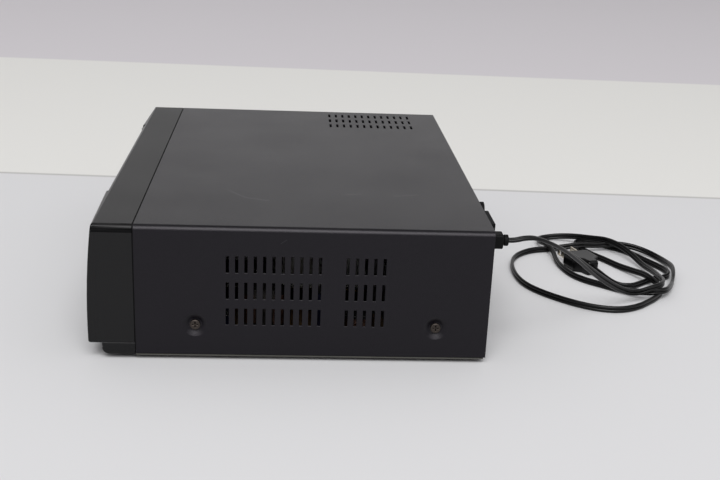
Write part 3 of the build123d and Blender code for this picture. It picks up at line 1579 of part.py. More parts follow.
lift_mid_y = holder_front + cassette_depth / 2
pin_ys = (lift_mid_y - lift_pin_spread / 2, lift_mid_y + lift_pin_spread / 2)
holder_half = cassette_width / 2 + cassette_side_gap + holder_wall
slider_inner = holder_half + lift_gap
slider_outer = slider_inner + slider_thickness
bracket_inner = slider_outer + lift_gap
bracket_outer = bracket_inner + bracket_sheet
guide_pin_z = bracket_top - 7
holder_pin_z = holder_floor + 13
pin_slot = 2 * (lift_pin_radius + lift_gap / 2)
slot_ends = (pin_ys[0], pin_ys[1] + lift_in)
holder_top = holder_floor + cassette_height + 1.0
with BuildPart() as carriage_frame:
    with BuildSketch(Plane.YZ):
        with BuildLine():
            Polyline(
                (deck_front, deck_top), (deck_front, bracket_top - 11), (-92, bracket_top), (-18, bracket_top),
                (18, bracket_top), (bracket_rear, bracket_top - 21), (bracket_rear, deck_top), (-16, deck_top),
                (-24, 44), (-76, 44), (-84, deck_top), close=True,
            )
        make_face()
        with Locations((sum(slot_ends) / 2, guide_pin_z)):
            SlotCenterToCenter(slot_ends[1] - slot_ends[0], pin_slot, mode=Mode.SUBTRACT)
        with Locations((-90, 56), (20, 52)):
            RectangleRounded(12, 22, 3, mode=Mode.SUBTRACT)
    extrude(amount=bracket_outer, both=True)
    with BuildSketch(Plane.YZ):
        with Locations((lift_mid_y, deck_top)):
            Rectangle(2 * cover_depth, body_height, align=(Align.CENTER, Align.MIN))
    extrude(amount=bracket_inner, both=True, mode=Mode.SUBTRACT)
    for side in sides:
        with BuildSketch(Plane.XY.offset(deck_top)):
            with Locations((side * (bracket_inner + 3.5), -96), (side * (bracket_inner + 3.5), 34)):
                Rectangle(7, 14)
        extrude(amount=bracket_sheet)
    with BuildSketch(Plane.XY.offset(bracket_top - bracket_sheet)):
        with Locations((0, -41)):
            Rectangle(2 * bracket_outer, 42)
            with GridLocations(44, 0, 4, 1):
                RectangleRounded(30, 22, 4, mode=Mode.SUBTRACT)
    extrude(amount=bracket_sheet)
pieces["carriage_frame"] = carriage_frame

# Side sliders: they carry the holder inwards along the frame's slots and let it drop in their own
slider_height = lift_down + 20
with BuildPart() as lift_sliders:
    with BuildSketch(Plane.YZ):
        with Locations((lift_mid_y, guide_pin_z + 4 - slider_height / 2)):
            RectangleRounded(lift_pin_spread + 14, slider_height, 3)
        with Locations(*[(y, holder_pin_z - lift_down / 2) for y in pin_ys]):
            with Locations(Location((0, 0), 90)):
                SlotCenterToCenter(lift_down, pin_slot, mode=Mode.SUBTRACT)
        with Locations((lift_mid_y, guide_pin_z - 22)):
            RectangleRounded(14, lift_down, 3, mode=Mode.SUBTRACT)
    extrude(amount=slider_outer, both=True)
    with BuildSketch(Plane.YZ):
        with Locations(*[(y, guide_pin_z) for y in pin_ys]):
            Circle(lift_pin_radius)
    extrude(amount=bracket_outer + lift_gap, both=True)
    for side in sides:
        with BuildSketch(Plane.YZ.offset(side * (bracket_outer + lift_gap))):
            with Locations(*[(y, guide_pin_z) for y in pin_ys]):
                Circle(3.2)
        extrude(amount=side * 0.8)
    with BuildSketch(Plane.YZ):
        with Locations((lift_mid_y, 60)):
            Rectangle(2 * cassette_depth, 2 * body_height)
    extrude(amount=slider_inner, both=True, mode=Mode.SUBTRACT)
pieces["lift_sliders"] = lift_sliders

# Cassette holder: a folded tray open at both ends, sprung tongues in its roof
with BuildPart() as cassette_holder:
    with BuildSketch(at_y(holder_front)):
        with BuildLine():
            Polyline(
                (-holder_half, holder_floor - holder_wall), (-holder_half, holder_top),
                (holder_half, holder_top), (holder_half, holder_floor - holder_wall),
                (holder_half - 19, holder_floor - holder_wall), (holder_half - 19, holder_floor),
                (holder_half - holder_wall, holder_floor),
                (holder_half - holder_wall, holder_top - holder_wall),
                (holder_wall - holder_half, holder_top - holder_wall),
                (holder_wall - holder_half, holder_floor), (19 - holder_half, holder_floor),
                (19 - holder_half, holder_floor - holder_wall), close=True,
            )
        make_face()
    extrude(amount=-cassette_depth)
    with BuildSketch(Plane.XY.offset(holder_top)):
        for x in (-56, 56):
            with Locations((x, lift_mid_y)):
                Rectangle(16, 60)
                with Locations((0, 2)):
                    Rectangle(12, 60, mode=Mode.SUBTRACT)
        with Locations((0, -30)):
            RectangleRounded(60, 30, 4)
        with Locations((0, -82)):
            RectangleRounded(44, 16, 4)
    extrude(amount=-holder_wall, mode=Mode.SUBTRACT)
    for side in sides:
        with BuildSketch(Plane.YZ.offset(side * holder_half)):
            with Locations(*[(y, holder_pin_z) for y in pin_ys]):
                Circle(lift_pin_radius)
        extrude(amount=side * (lift_gap + slider_thickness))
pieces["cassette_holder"] = cassette_holder

# ---------------------------------------------------------------- mains lead

gland_knob_length = 3.0
with BuildPart() as strain_relief:
    with BuildSketch(at_y(panel_rear)):
        with Locations((gland_x, gland_z)):
            RectangleRounded(gland_block, gland_block, 1.8)
    extrude(amount=-(jack_y - gland_knob_length - 1 - panel_rear))
    fillet(strain_relief.faces().sort_by(Axis.Y)[-1].edges(), 0.8)
    with BuildSketch(at_y(panel_rear)):
        with Locations((gland_x, gland_z)):
            Rectangle(gland_block - 2 - 2 * running_gap, gland_block - 2 - 2 * running_gap)
    extrude(amount=panel_thickness)
    with BuildSketch(at_y(panel_front)):
        with Locations((gland_x, gland_z)):
            Rectangle(gland_block + 1, gland_block - 2)
    extrude(amount=2.5)
    with BuildSketch(at_y(jack_y - gland_knob_length - 1)):
        with Locations((gland_x, gland_z)):
            Circle(gland_knob_radius - 0.7)
    extrude(amount=-1)
    with BuildSketch(at_y(jack_y - gland_knob_length)):
        with Locations((gland_x, gland_z)):
            Circle(gland_knob_radius)
    extrude(amount=-gland_knob_length)
    fillet(strain_relief.faces().sort_by(Axis.Y)[-1].edges(), 0.6)
pieces["strain_relief"] = strain_relief

# Free stretch of the lead: straight runs joined by the widest arcs that they allow
lead = [
    (gland_x, jack_y, gland_z),
    (gland_x, jack_y + 5, gland_z),
    (gland_x - 1, jack_y + 12, gland_z + 1.6),
    (gland_x - 4.5, jack_y + 22, gland_z + 0.6),
    (143, 183, 76),
    (126, 201, 62.5),
    (96, 231, 35),
    (73, 257, 15),
    (63, 274, 7),
    (59.5, 288, 3.9),
]
lead_runs = [Vector(*end) - Vector(*start) for start, end in zip(lead, lead[1:])]
lead_radii = []
for before, after in zip(lead_runs, lead_runs[1:]):
    half_turn = math.radians(before.get_angle(after)) / 2
    lead_radii.append(0.45 * min(before.length, after.length) / math.tan(half_turn))
with BuildPart() as power_cord:
    with BuildLine() as lead_line:
        FilletPolyline(*lead, radius=lead_radii)
    with BuildSketch(Plane(origin=lead[0], z_dir=(0, 1, 0))):
        Circle(cord_width / 2)
    sweep(path=lead_line.wires()[0])
pieces["power_cord"] = power_cord
print("lead radii", [round(radius, 1) for radius in lead_radii])

# The rest of the lead lies on the floor in loose turns: their outer shape, open where the floor shows
pile_height = 9.0
pile_edge = [
    (-91, 238), (-84, 260), (-66, 286), (-57, 318), (-34, 330), (-2, 330), (34, 317), (60, 293),
    (84, 270), (89, 246), (70, 212), (38, 187), (-2, 182), (-38, 191), (-57, 221), (-75, 225),
]
front_opening = [(-47, 223), (-35, 205), (-10, 193), (22, 191), (50, 206), (78, 242), (68, 266), (42, 256), (10, 227)]
plug_opening = [(-51, 233), (-24, 233), (4, 236), (25, 251), (20, 261), (-4, 272), (-32, 262), (-52, 252)]
with BuildPart() as cord_pile:
    with BuildSketch():
        with BuildLine():
            Spline(*pile_edge, periodic=True)
        make_face()
        with BuildLine():
            Spline(*front_opening, periodic=True)
        make_face(mode=Mode.SUBTRACT)
        with BuildLine():
            Spline(*plug_opening, periodic=True)
        make_face(mode=Mode.SUBTRACT)
    extrude(amount=pile_height)
pieces["cord_pile"] = cord_pile

# Two-blade plug lying flat inside the turns
plug_tail = (3.0, 255.0)
plug_heading = 198.4
plug_place = Plane(Location((*plug_tail, plug_height / 2), (0, 0, plug_heading)))
with BuildPart() as plug:
    with BuildSketch(plug_place.offset(-plug_height / 2)):
        with BuildLine():
            Polyline(
                (0, -5), (8, -6.5), (12, -plug_width / 2), (plug_length, -plug_width / 2),
                (plug_length, plug_width / 2), (12, plug_width / 2), (8, 6.5), (0, 5), close=True,
            )
        make_face()
    extrude(amount=plug_height)
    chamfer(plug.edges().filter_by(Plane.XY), 1.2)
pieces["plug"] = plug

blade_spacing = 12.7
with BuildPart() as plug_blades:
    with BuildSketch(plug_place.offset(-3.15)):
        with Locations((plug_length + 8.5, -blade_spacing / 2), (plug_length + 8.5, blade_spacing / 2)):
            Rectangle(17, 1.5)
    extrude(amount=6.3)
    with BuildSketch(plug_place.offset(-2)):
        with Locations((plug_length + 13, -blade_spacing / 2), (plug_length + 13, blade_spacing / 2)):
            Circle(1.6)
    extrude(amount=4, mode=Mode.SUBTRACT)
pieces["plug_blades"] = plug_blades

for name, piece in pieces.items():
    piece.part.label = name
    export_step(piece.part, f"parts/{name}.step")
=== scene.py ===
"""A video cassette recorder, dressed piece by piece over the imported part."""

import json
import math

import bmesh
import bpy
from mathutils import Matrix, Vector

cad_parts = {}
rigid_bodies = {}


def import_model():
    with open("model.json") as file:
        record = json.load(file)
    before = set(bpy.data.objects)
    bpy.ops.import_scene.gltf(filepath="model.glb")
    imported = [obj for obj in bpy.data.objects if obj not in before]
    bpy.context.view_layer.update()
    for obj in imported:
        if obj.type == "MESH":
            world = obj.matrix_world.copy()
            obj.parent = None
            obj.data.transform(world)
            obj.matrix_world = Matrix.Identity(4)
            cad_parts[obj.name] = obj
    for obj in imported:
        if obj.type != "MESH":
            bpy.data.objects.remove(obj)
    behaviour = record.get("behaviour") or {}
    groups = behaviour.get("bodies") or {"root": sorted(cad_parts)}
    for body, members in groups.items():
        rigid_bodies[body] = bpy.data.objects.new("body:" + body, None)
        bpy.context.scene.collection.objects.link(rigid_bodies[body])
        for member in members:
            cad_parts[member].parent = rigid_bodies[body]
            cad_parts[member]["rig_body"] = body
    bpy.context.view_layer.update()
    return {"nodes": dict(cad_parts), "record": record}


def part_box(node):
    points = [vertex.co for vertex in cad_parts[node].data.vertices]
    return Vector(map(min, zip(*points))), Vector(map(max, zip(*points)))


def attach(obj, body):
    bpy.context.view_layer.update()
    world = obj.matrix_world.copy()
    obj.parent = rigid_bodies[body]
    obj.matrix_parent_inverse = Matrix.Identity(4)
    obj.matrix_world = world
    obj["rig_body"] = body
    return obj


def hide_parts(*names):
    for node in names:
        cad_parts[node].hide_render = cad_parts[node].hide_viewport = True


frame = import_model()
mm = 0.001


# ---- Studio -----------------------------------------------------------------------------
# A pale table top with painted shade along a joint and a change of tone behind the
# recorder, one large soft lamp high on the right, and a pale room that is dimmer on the camera's side.


def new_mesh(name, vertices, faces):
    """A mesh from its vertices and the vertex numbers of its faces."""
    made = bpy.data.meshes.new(name)
    made.from_pydata(vertices, [], faces)
    return made


def material(name):
    """A new material, its node tree and the inputs of its principled shader."""
    made = bpy.data.materials.new(name)
    made.use_nodes = True
    return made, made.node_tree, made.node_tree.nodes["Principled BSDF"].inputs


def feed(socket, value):
    """Links a socket to another one, or gives it a plain value."""
    if isinstance(value, bpy.types.NodeSocket):
        socket.id_data.links.new(value, socket)
    else:
        socket.default_value = value


def new_node(tree, kind, inputs=(), **settings):
    """Adds a node with its settings, then its inputs by name or number. Gives its outputs."""
    made = tree.nodes.new(kind)
    for label, value in settings.items():
        setattr(made, label, value)
    for label, value in dict(inputs).items():
        feed(made.inputs[label], value)
    return made.outputs


def math_node(tree, operation, *values):
    """What a math node gives for numbers or other sockets."""
    return new_node(tree, "ShaderNodeMath", enumerate(values), operation=operation)[0]


def mixed(tree, share, first, second, kind="RGBA"):
    """A share of the way from one colour to another, or between numbers where kind is FLOAT."""
    inputs = {"Factor": share, "A": first, "B": second}
    return new_node(tree, "ShaderNodeMix", inputs, data_type=kind)["Result"]


def object_place(tree):
    """The place of a point on its object."""
    return new_node(tree, "ShaderNodeTexCoord")["Object"]


def table_finish():
    """Pale board in bands across the view, with a soft line of painted shade along the nearer joint."""
    made, tree, shader = material("table_top")
    slant = {"Vector": object_place(tree), "Rotation": (0, 0, bands_turn)}
    turned = new_node(tree, "ShaderNodeMapping", slant)["Vector"]
    across = new_node(tree, "ShaderNodeSeparateXYZ", {0: turned})["X"]
    reach = {"Value": across, "From Min": -band_depth, "From Max": 0.0}
    share = new_node(tree, "ShaderNodeMapRange", reach)["Result"]
    tones = tree.nodes.new("ShaderNodeValToRGB")
    stops = tones.color_ramp.elements
    stops[0].position, stops[0].color = 0.0, (*far_board, 1)
    stops[1].position, stops[1].color = 1.0, (*table_pale, 1)
    for distance, colour in (
        (far_line, far_board),
        (far_line - line_blur, near_board),
        (near_line + line_blur + line_half, near_board),
        (near_line + line_half, line_shade),
        (near_line - line_blur, table_pale),
    ):
        stops.new(1 - distance / band_depth).color = (*colour, 1)
    feed(tones.inputs["Fac"], share)
    feed(shader["Base Color"], tones.outputs["Color"])
    feed(shader["Roughness"], 0.7)
    feed(shader["Specular IOR Level"], 0.15)
    return made


bands_turn = math.radians(2.45)
band_depth, near_line, far_line = 1.2, 0.257, 0.930
line_blur, line_half = 0.003, 0.001
table_pale, near_board = (0.69, 0.69, 0.70), (0.77, 0.765, 0.74)
# line_shade is painted shade: the dark line where shade falls along the nearer joint.
line_shade, far_board = (0.46, 0.45, 0.44), (0.655, 0.63, 0.655)
table_half = 14.0
corners = ((-1, -1), (1, -1), (1, 1), (-1, 1))
table_mesh = new_mesh("table", [(x * table_half, y * table_half, 0) for x, y in corners], [(0, 1, 2, 3)])
table_mesh.materials.append(table_finish())
table = bpy.data.objects.new("table", table_mesh)
bpy.context.scene.collection.objects.link(table)


def lamp(name, at, size, power, aim=(0, 0.05, 0.0)):
    """A soft rectangular lamp that faces the recorder."""
    light = bpy.data.lights.new(name, "AREA")
    light.shape = "RECTANGLE"
    light.size, light.size_y = size
    light.energy = power
    made = bpy.data.objects.new(name, light)
    made.location = at
    made.rotation_mode = "QUATERNION"
    made.rotation_quaternion = (Vector(at) - Vector(aim)).to_track_quat("Z", "Y")
    bpy.context.scene.collection.objects.link(made)


lamp("side_lamp", (3.2, -0.1, 4.1), size=(3.8, 3.4), power=193)


def pale_room():
    """A pale room. What is mirrored is dim on the camera's side, and what lights the table is even."""
    made = bpy.data.worlds.new("room")
    made.use_nodes = True
    tree = made.node_tree
    view = new_node(tree, "ShaderNodeTexCoord")["Generated"]
    facing = new_node(tree, "ShaderNodeSeparateXYZ", {0: view})

    def graded(axis, low, high, at_low, at_high):
        """A number that goes from at_low to at_high as the view turns from low to high on an axis."""
        ends = {"From Min": low, "From Max": high, "To Min": at_low, "To Max": at_high}
        return new_node(tree, "ShaderNodeMapRange", {"Value": facing[axis], **ends})["Result"]

    wall = math_node(
        tree, "MULTIPLY", graded("X", -0.9, 0.7, wall_far, wall_near), graded("Z", 0.35, 0.6, 1.0, 0.35)
    )
    sky = math_node(
        tree, "MULTIPLY", graded("X", 0.1, 0.35, sky_far, sky_near), graded("Z", 0.2, 0.42, 0.0, 1.0)
    )
    mirrored = math_node(tree, "ADD", wall, sky)
    lighting = graded("Z", 0.0, 1.0, light_low, light_high)
    rays = new_node(tree, "ShaderNodeLightPath")
    unseen = mixed(tree, rays["Is Glossy Ray"], lighting, mirrored, "FLOAT")
    background = tree.nodes["Background"].inputs
    feed(background["Strength"], mixed(tree, rays["Is Camera Ray"], unseen, wall_seen, "FLOAT"))
    feed(background["Color"], (1.0, 0.99, 1.0, 1))
    return made


wall_far, wall_near, sky_far, sky_near = 0.72, 0.1, 0.1, 1.7
light_low, light_high, wall_seen = 0.1, 0.72, 0.56
bpy.context.scene.world = pale_room()
bpy.context.scene.view_settings.view_transform = "Standard"


# ---- Camera -----------------------------------------------------------------------------
# It stands under a metre off the right side, above the cover, and looks down across it
# with a slight tilt. The lens is a short telephoto.

camera_place = Vector((868.74, -9.31, 330.78)) * mm
yaw, pitch, roll = (math.radians(a) for a in (4.077, 19.228, 2.528))
aim = Vector((-math.cos(yaw) * math.cos(pitch), math.sin(yaw) * math.cos(pitch), -math.sin(pitch)))
level = aim.cross(Vector((0, 0, 1))).normalized()
plumb = level.cross(aim)
rightward = math.cos(roll) * level + math.sin(roll) * plumb
upward = math.cos(roll) * plumb - math.sin(roll) * level
lens = bpy.data.cameras.new("camera")
lens.lens, lens.sensor_width = 54.51, 36.0
lens.clip_start, lens.clip_end = 0.01, 50
camera = bpy.data.objects.new("camera", lens)
turned = Matrix((rightward, upward, -aim)).transposed().to_4x4()
camera.matrix_world = Matrix.Translation(camera_place) @ turned
bpy.context.scene.collection.objects.link(camera)
bpy.context.scene.camera = camera


# ---- Supply lead ------------------------------------------------------------------------
# A flat two-core lead about 1.4 m long in glossy black vinyl, with a moulded plug. It
# leaves the gland lying flat, turns onto its edge as it falls and lies in loose loops
# behind the recorder.


def shader_group(name, given, results):
    """An empty shader group with named inputs and outputs, and its inner sockets for both."""
    group = bpy.data.node_groups.new(name, "ShaderNodeTree")
    kinds = {1: "NodeSocketFloat", 3: "NodeSocketVector", 4: "NodeSocketColor"}
    for label, value in given.items():
        kind = kinds[len(value) if isinstance(value, tuple) else 1]
        group.interface.new_socket(label, in_out="INPUT", socket_type=kind).default_value = value
    for label, kind in results.items():
        group.interface.new_socket(label, in_out="OUTPUT", socket_type=kind)
    return group, group.nodes.new("NodeGroupInput").outputs, group.nodes.new("NodeGroupOutput").inputs


def noise(tree, place, scale, detail=2.0):
    """Smooth noise from 0 to 1 over a place."""
    inputs = {"Vector": place, "Scale": scale, "Detail": detail}
    return new_node(tree, "ShaderNodeTexNoise", inputs)["Fac"]


def scaled(tree, vector, factor):
    """A vector or a colour times a number."""
    return new_node(tree, "ShaderNodeVectorMath", {0: vector, "Scale": factor}, operation="SCALE")[0]


surface_results = {
    "Colour": "NodeSocketColor",
    "Roughness": "NodeSocketFloat",
    "Normal": "NodeSocketVector",
}


def fine_grain():
    """Fine moulded or sprayed grain, with a slow drift of tone and gloss."""
    given = {
        "Colour": (0.5, 0.5, 0.5, 1.0),
        "Tone Drift": 0.1,
        "Roughness": 0.5,
        "Gloss Drift": 0.05,
        "Grain Scale": 1500.0,
        "Grain Depth": 0.05,
    }
    group, value, result = shader_group("fine_grain", given, surface_results)
    place = object_place(group)
    grain = noise(group, place, value["Grain Scale"], 3)
    centred = math_node(group, "SUBTRACT", noise(group, place, 14.0, 4), 0.5)
    tone = math_node(group, "MULTIPLY_ADD", centred, value["Tone Drift"], 1.0)
    gloss = math_node(group, "MULTIPLY_ADD", centred, value["Gloss Drift"], value["Roughness"])
    relief = {"Height": grain, "Strength": value["Grain Depth"], "Distance": 0.2 * mm}
    feed(result["Colour"], scaled(group, value["Colour"], tone))
    feed(result["Roughness"], gloss)
    feed(result["Normal"], new_node(group, "ShaderNodeBump", relief)["Normal"])
    return group


def use_group(tree, group, **values):
    """Places a shared group in a material, with a number, colour, place or socket for each input."""
    made = tree.nodes.new("ShaderNodeGroup")
    made.node_tree = group
    for label, value in values.items():
        socket = made.inputs[label.replace("_", " ")]
        feed(socket, (*value, 1) if socket.type == "RGBA" and isinstance(value, tuple) else value)
    return made.outputs


def surfaced(shader, given, **sockets):
    """Feeds the shader a group's colour, gloss and relief, and sets its other sockets."""
    for label, socket in (("Colour", "Base Color"), ("Roughness", "Roughness"), ("Normal", "Normal")):
        feed(shader[socket], given[label])
    for label, value in sockets.items():
        shader[label.replace("_", " ")].default_value = value


grain_group = fine_grain()


def grained(name, colour, roughness, tone=0.3, gloss=0.1, scale=1500.0, depth=0.1, **sockets):
    """A material with fine grain in its colour, gloss and relief. sockets are set on the shader."""
    made, tree, shader = material(name)
    grain = use_group(
        tree, grain_group, Colour=colour, Roughness=roughness,
        Tone_Drift=tone, Gloss_Drift=gloss, Grain_Scale=scale, Grain_Depth=depth,
    )
    surfaced(shader, grain, **sockets)
    return made


cord_vinyl = grained(
    "cord_vinyl", (0.0028, 0.0028, 0.003), 0.3,
    gloss=0.3, scale=700.0, depth=0.05, Specular_IOR_Level=0.25,
)
lead_width, lead_thickness = 5.6 * mm, 2.8 * mm
lead_exit = (157, 145, 84)
lead_route = (
    lead_exit, (157, 150, 84), (156, 157, 85.6), (152.5, 167, 84.6), (143, 183, 76), (126, 201, 62.5),
    (96, 231, 35), (73, 257, 15), (63, 274, 8), (59.5, 288, 11.4), (52, 299, 11.8), (40, 304.5, 10.3),
    (24, 306, 8), (6, 306.5, 6.1), (-14, 303.5, 4.3), (-32, 299.5, 7), (-48, 293, 9.9), (-60, 283, 11.3),
    (-71, 271, 8.7), (-81, 259, 6.8), (-87, 246, 4.7), (-88, 234, 2.9), (-82, 225, 3.3), (-71, 223, 5.1),
    (-58, 227, 7.2), (-42, 230, 5.9), (-24, 229, 3.1), (-6, 230.5, 2.9), (10, 235, 2.9), (22, 243, 2.9),
    (32, 255, 2.9), (43, 267, 3.2), (53, 278, 5.4), (58, 290, 7.2), (54, 302, 7.4), (43, 309, 5.7),
    (29, 316, 3.9), (13, 322.5, 6.6), (-4, 327, 6.8), (-22, 328.5, 3.8), (-38, 325.5, 2.9), (-50, 318, 4.2),
    (-57, 305, 6.7), (-61, 290, 7.2), (-59, 275, 5.9), (-56, 258, 7.2), (-54.5, 242, 5.1), (-54.5, 228, 3),
    (-52, 215, 2.9), (-44, 203, 2.9), (-32, 193, 2.9), (-16, 187.5, 2.9), (2, 185.5, 2.9), (20, 186, 2.9),
    (36, 190, 2.9), (50, 198.5, 2.9), (64, 211, 2.9), (76, 225, 2.9), (84, 240, 2.9), (86, 256, 2.9),
    (79, 272, 2.9), (68, 284, 2.9), (59, 293, 2.9), (49, 301, 3.5), (35, 301.5, 5.9), (18, 296.5, 7.3),
    (2, 290.5, 4.6), (-14, 282, 2.9), (-29, 274.5, 2.9), (-42, 266, 2.9), (-54, 261, 2.9), (-65, 256, 2.9),
    (-75, 258, 2.9), (-78, 268, 2.9), (-72, 281, 2.9), (-62, 293, 2.9), (-50, 302, 2.9), (-36, 308, 2.9),
    (-22, 315, 2.9), (-8, 321.5, 2.9), (5, 322, 2.9), (13, 314, 2.9), (17, 302, 2.9), (27, 290, 2.9),
    (35, 279, 2.9), (33, 268, 2.9), (21, 261.5, 4.4), (10, 257.5, 6.0), (3, 255, 6.5),
)


def as_plain_mesh(source):
    """The mesh that an object gives with its modifiers, after which the object is removed."""
    bpy.context.scene.collection.objects.link(source)
    bpy.context.view_layer.update()
    made = bpy.data.meshes.new_from_object(source.evaluated_get(bpy.context.evaluated_depsgraph_get()))
    bpy.data.objects.remove(source)
    return made


def eased_path(name, route):
    """The points along one smooth spline laid through the route's points, which are in mm."""
    line = bpy.data.curves.new(name, "CURVE")
    line.dimensions = "3D"
    spline = line.splines.new("NURBS")
    spline.points.add(len(route) - 1)
    for point, place in zip(spline.points, route):
        point.co = (*(c * mm for c in place), 1)
    spline.order_u = 3
    spline.use_endpoint_u = True
    spline.resolution_u = 8
    return [v.co.copy() for v in as_plain_mesh(bpy.data.objects.new(name, line)).vertices]


lead_path = eased_path("lead_route", lead_route)


def cores_section(cores, pitch, radius, steps=6):
    """Round cores side by side, joined where they meet, as (across, through) pairs."""
    apart = min(pitch / 2 / radius, 0.97)  # cores that only touch still share a narrow neck
    open_half = math.acos(apart) if cores > 1 else 0.0
    above = []
    for core in range(cores):
        first = 0.0 if core == cores - 1 else open_half
        last = math.pi if core == 0 else math.pi - open_half
        middle = (core - (cores - 1) / 2) * pitch
        turns = [last + (first - last) * i / steps for i in range(steps + 1)]
        above += [(middle + radius * math.cos(t), radius * math.sin(t)) for t in turns]
    below = [(across, -through) for across, through in reversed(above)]
    return list(reversed(above + below[1:-1]))


def eased(share):
    """A share from 0 to 1 that sets off and arrives slowly."""
    return share * share * (3 - 2 * share)


def smoothed(mesh, sharpest):
    """Shades a mesh smooth, apart from its edges past an angle in degrees."""
    mesh.shade_smooth()
    mesh.set_sharp_from_angle(angle=math.radians(sharpest))
    return mesh


def flat_lead(name, path, section, flat_run=1.0, turn_run=1.0):
    """A closed tube along the path. It lies flat for flat_run, then turns onto its edge over turn_run."""
    vertices, faces, run = [], [], 0.0
    for i, at in enumerate(path):
        before, after = path[max(i - 1, 0)], path[min(i + 1, len(path) - 1)]
        run += (at - before).length
        along = (after - before).normalized()
        side = Vector((0, 0, 1)).cross(along).normalized()
        turn = math.pi / 2 * eased(min(max((run - flat_run) / turn_run, 0), 1))
        wide = math.cos(turn) * side + math.sin(turn) * along.cross(side)
        vertices += [at + wide * w + along.cross(wide) * d for w, d in section]
    count = len(section)
    for ring in range(0, len(vertices) - count, count):
        for k in range(count):
            a, b = ring + k, ring + (k + 1) % count
            faces.append((a, b, b + count, a + count))
    faces.append(tuple(reversed(range(count))))
    faces.append(tuple(range(len(vertices) - count, len(vertices))))
    return smoothed(new_mesh(name, vertices, faces), 60)


slots = {row["slot"] for row in frame["record"]["materials"]}


def shown(name, mesh, finish, body, *nodes, slot=None):
    """A finished piece: its mesh, its material, the body it rides on and the nodes it stands for."""
    made = bpy.data.objects.new(name, mesh)
    bpy.context.scene.collection.objects.link(made)
    mesh.materials.clear()
    mesh.materials.append(finish)
    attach(made, body)
    if nodes:
        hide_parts(*nodes)
    if slot or finish.name in slots:
        slot or finish.name
    return made


lead_section = cores_section(2, lead_width / 2, lead_thickness / 2, 9)
lead_mesh = flat_lead("supply_lead", lead_path, lead_section, flat_run=25 * mm, turn_run=120 * mm)
lead = shown("supply_lead", lead_mesh, cord_vinyl, "recorder", "power_cord", "cord_pile")


def clean_copy(node):
    """The node's own shape as one closed mesh: flat faces whole, rounds smooth, corners sharp."""
    work = bmesh.new()
    work.from_mesh(frame["nodes"][node].data)
    bmesh.ops.remove_doubles(work, verts=work.verts, dist=2e-6)
    bmesh.ops.dissolve_limit(work, angle_limit=math.radians(0.4), verts=work.verts, edges=work.edges)
    made = bpy.data.meshes.new(node)
    work.to_mesh(made)
    work.free()
    return smoothed(made, 32)


def dressed(node, finish, edge=0.0, slot=None):
    """A piece with the node's own shape, with its corners broken by edge."""
    body = frame["nodes"][node]["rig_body"]
    made = shown(node + "_piece", clean_copy(node), finish, body, node, slot=slot)
    if edge:
        bevel = made.modifiers.new("broken_corners", "BEVEL")
        bevel.width, bevel.segments = edge, 2
        bevel.limit_method, bevel.angle_limit = "ANGLE", math.radians(40)
        bevel.use_clamp_overlap = False
    weights = made.modifiers.new("flat_faces_first", "WEIGHTED_NORMAL")
    weights.keep_sharp = True
    return made


blade_brass = grained("blade_brass", (0.72, 0.66, 0.55), 0.3, scale=700.0, depth=0.03, Metallic=1.0)
plug = dressed("plug", cord_vinyl, edge=1.4 * mm)
blades = dressed("plug_blades", blade_brass, edge=0.2 * mm)


# ---- Bottom tray and feet ---------------------------------------------------------------
# The tray is pressed from zinc-plated steel, and its folded edge shows as a thin line
# under the cover. The steel's dark tone is painted shade for that line, which lies in
# shadow. Four moulded rubber feet are pushed through it.


def vector_node(tree, operation, *values):
    """The outputs of a vector math node for two vectors or one."""
    return new_node(tree, "ShaderNodeVectorMath", enumerate(values), operation=operation)


def rolled_sheet():
    """Plated rolled sheet: fine streaks along the rolling direction and faint zinc flowers."""
    given = {
        "Colour": (0.6, 0.6, 0.6, 1.0),
        "Roughness": 0.35,
        "Streaks": 0.1,
        "Flowers": 0.1,
        "Stretch": (60.0, 1200.0, 1200.0),
    }
    group, value, result = shader_group("rolled_sheet", given, surface_results)
    place = object_place(group)
    stretched = vector_node(group, "MULTIPLY", place, value["Stretch"])[0]
    streak = noise(group, stretched, 1.0)
    flower = new_node(group, "ShaderNodeTexVoronoi", {"Vector": place, "Scale": 130.0})["Color"]
    petal = new_node(group, "ShaderNodeSeparateColor", {0: flower})[0]
    lines = math_node(group, "MULTIPLY", math_node(group, "SUBTRACT", streak, 0.5), value["Streaks"])
    patches = math_node(group, "MULTIPLY", math_node(group, "SUBTRACT", petal, 0.5), value["Flowers"])
    both = math_node(group, "ADD", lines, patches)
    relief = {"Height": lines, "Strength": 0.3, "Distance": 0.05 * mm}
    feed(result["Colour"], scaled(group, value["Colour"], math_node(group, "ADD", both, 1.0)))
    feed(result["Roughness"], math_node(group, "ADD", value["Roughness"], both))
    feed(result["Normal"], new_node(group, "ShaderNodeBump", relief)["Normal"])
    return group


sheet_group = rolled_sheet()


def rolled(name, colour, roughness, streaks=0.2, flowers=0.05, stretch=(60.0, 1200.0, 1200.0)):
    """A bright metal sheet or bar with the marks of its rolling or turning."""
    made, tree, shader = material(name)
    sheet = use_group(
        tree, sheet_group, Colour=colour, Roughness=roughness,
        Streaks=streaks, Flowers=flowers, Stretch=stretch,
    )
    surfaced(shader, sheet, Metallic=1.0)
    return made


# The tray's tone is darkened far below plated steel as painted shade for its edge under the cover.
tray_steel = rolled("tray_steel", (0.13, 0.128, 0.116), 0.45)
dressed("bottom_tray", tray_steel)
foot_rubber = grained("foot_rubber", (0.012, 0.012, 0.012), 0.75, scale=1100.0, depth=0.2)
dressed("feet", foot_rubber, edge=0.4 * mm)


# ---- Top cover --------------------------------------------------------------------------
# One steel sheet folded over the chassis, punched with cooling slots, dimpled for its
# screws and sprayed with fine-grained charcoal paint. Light marks show years of handling.


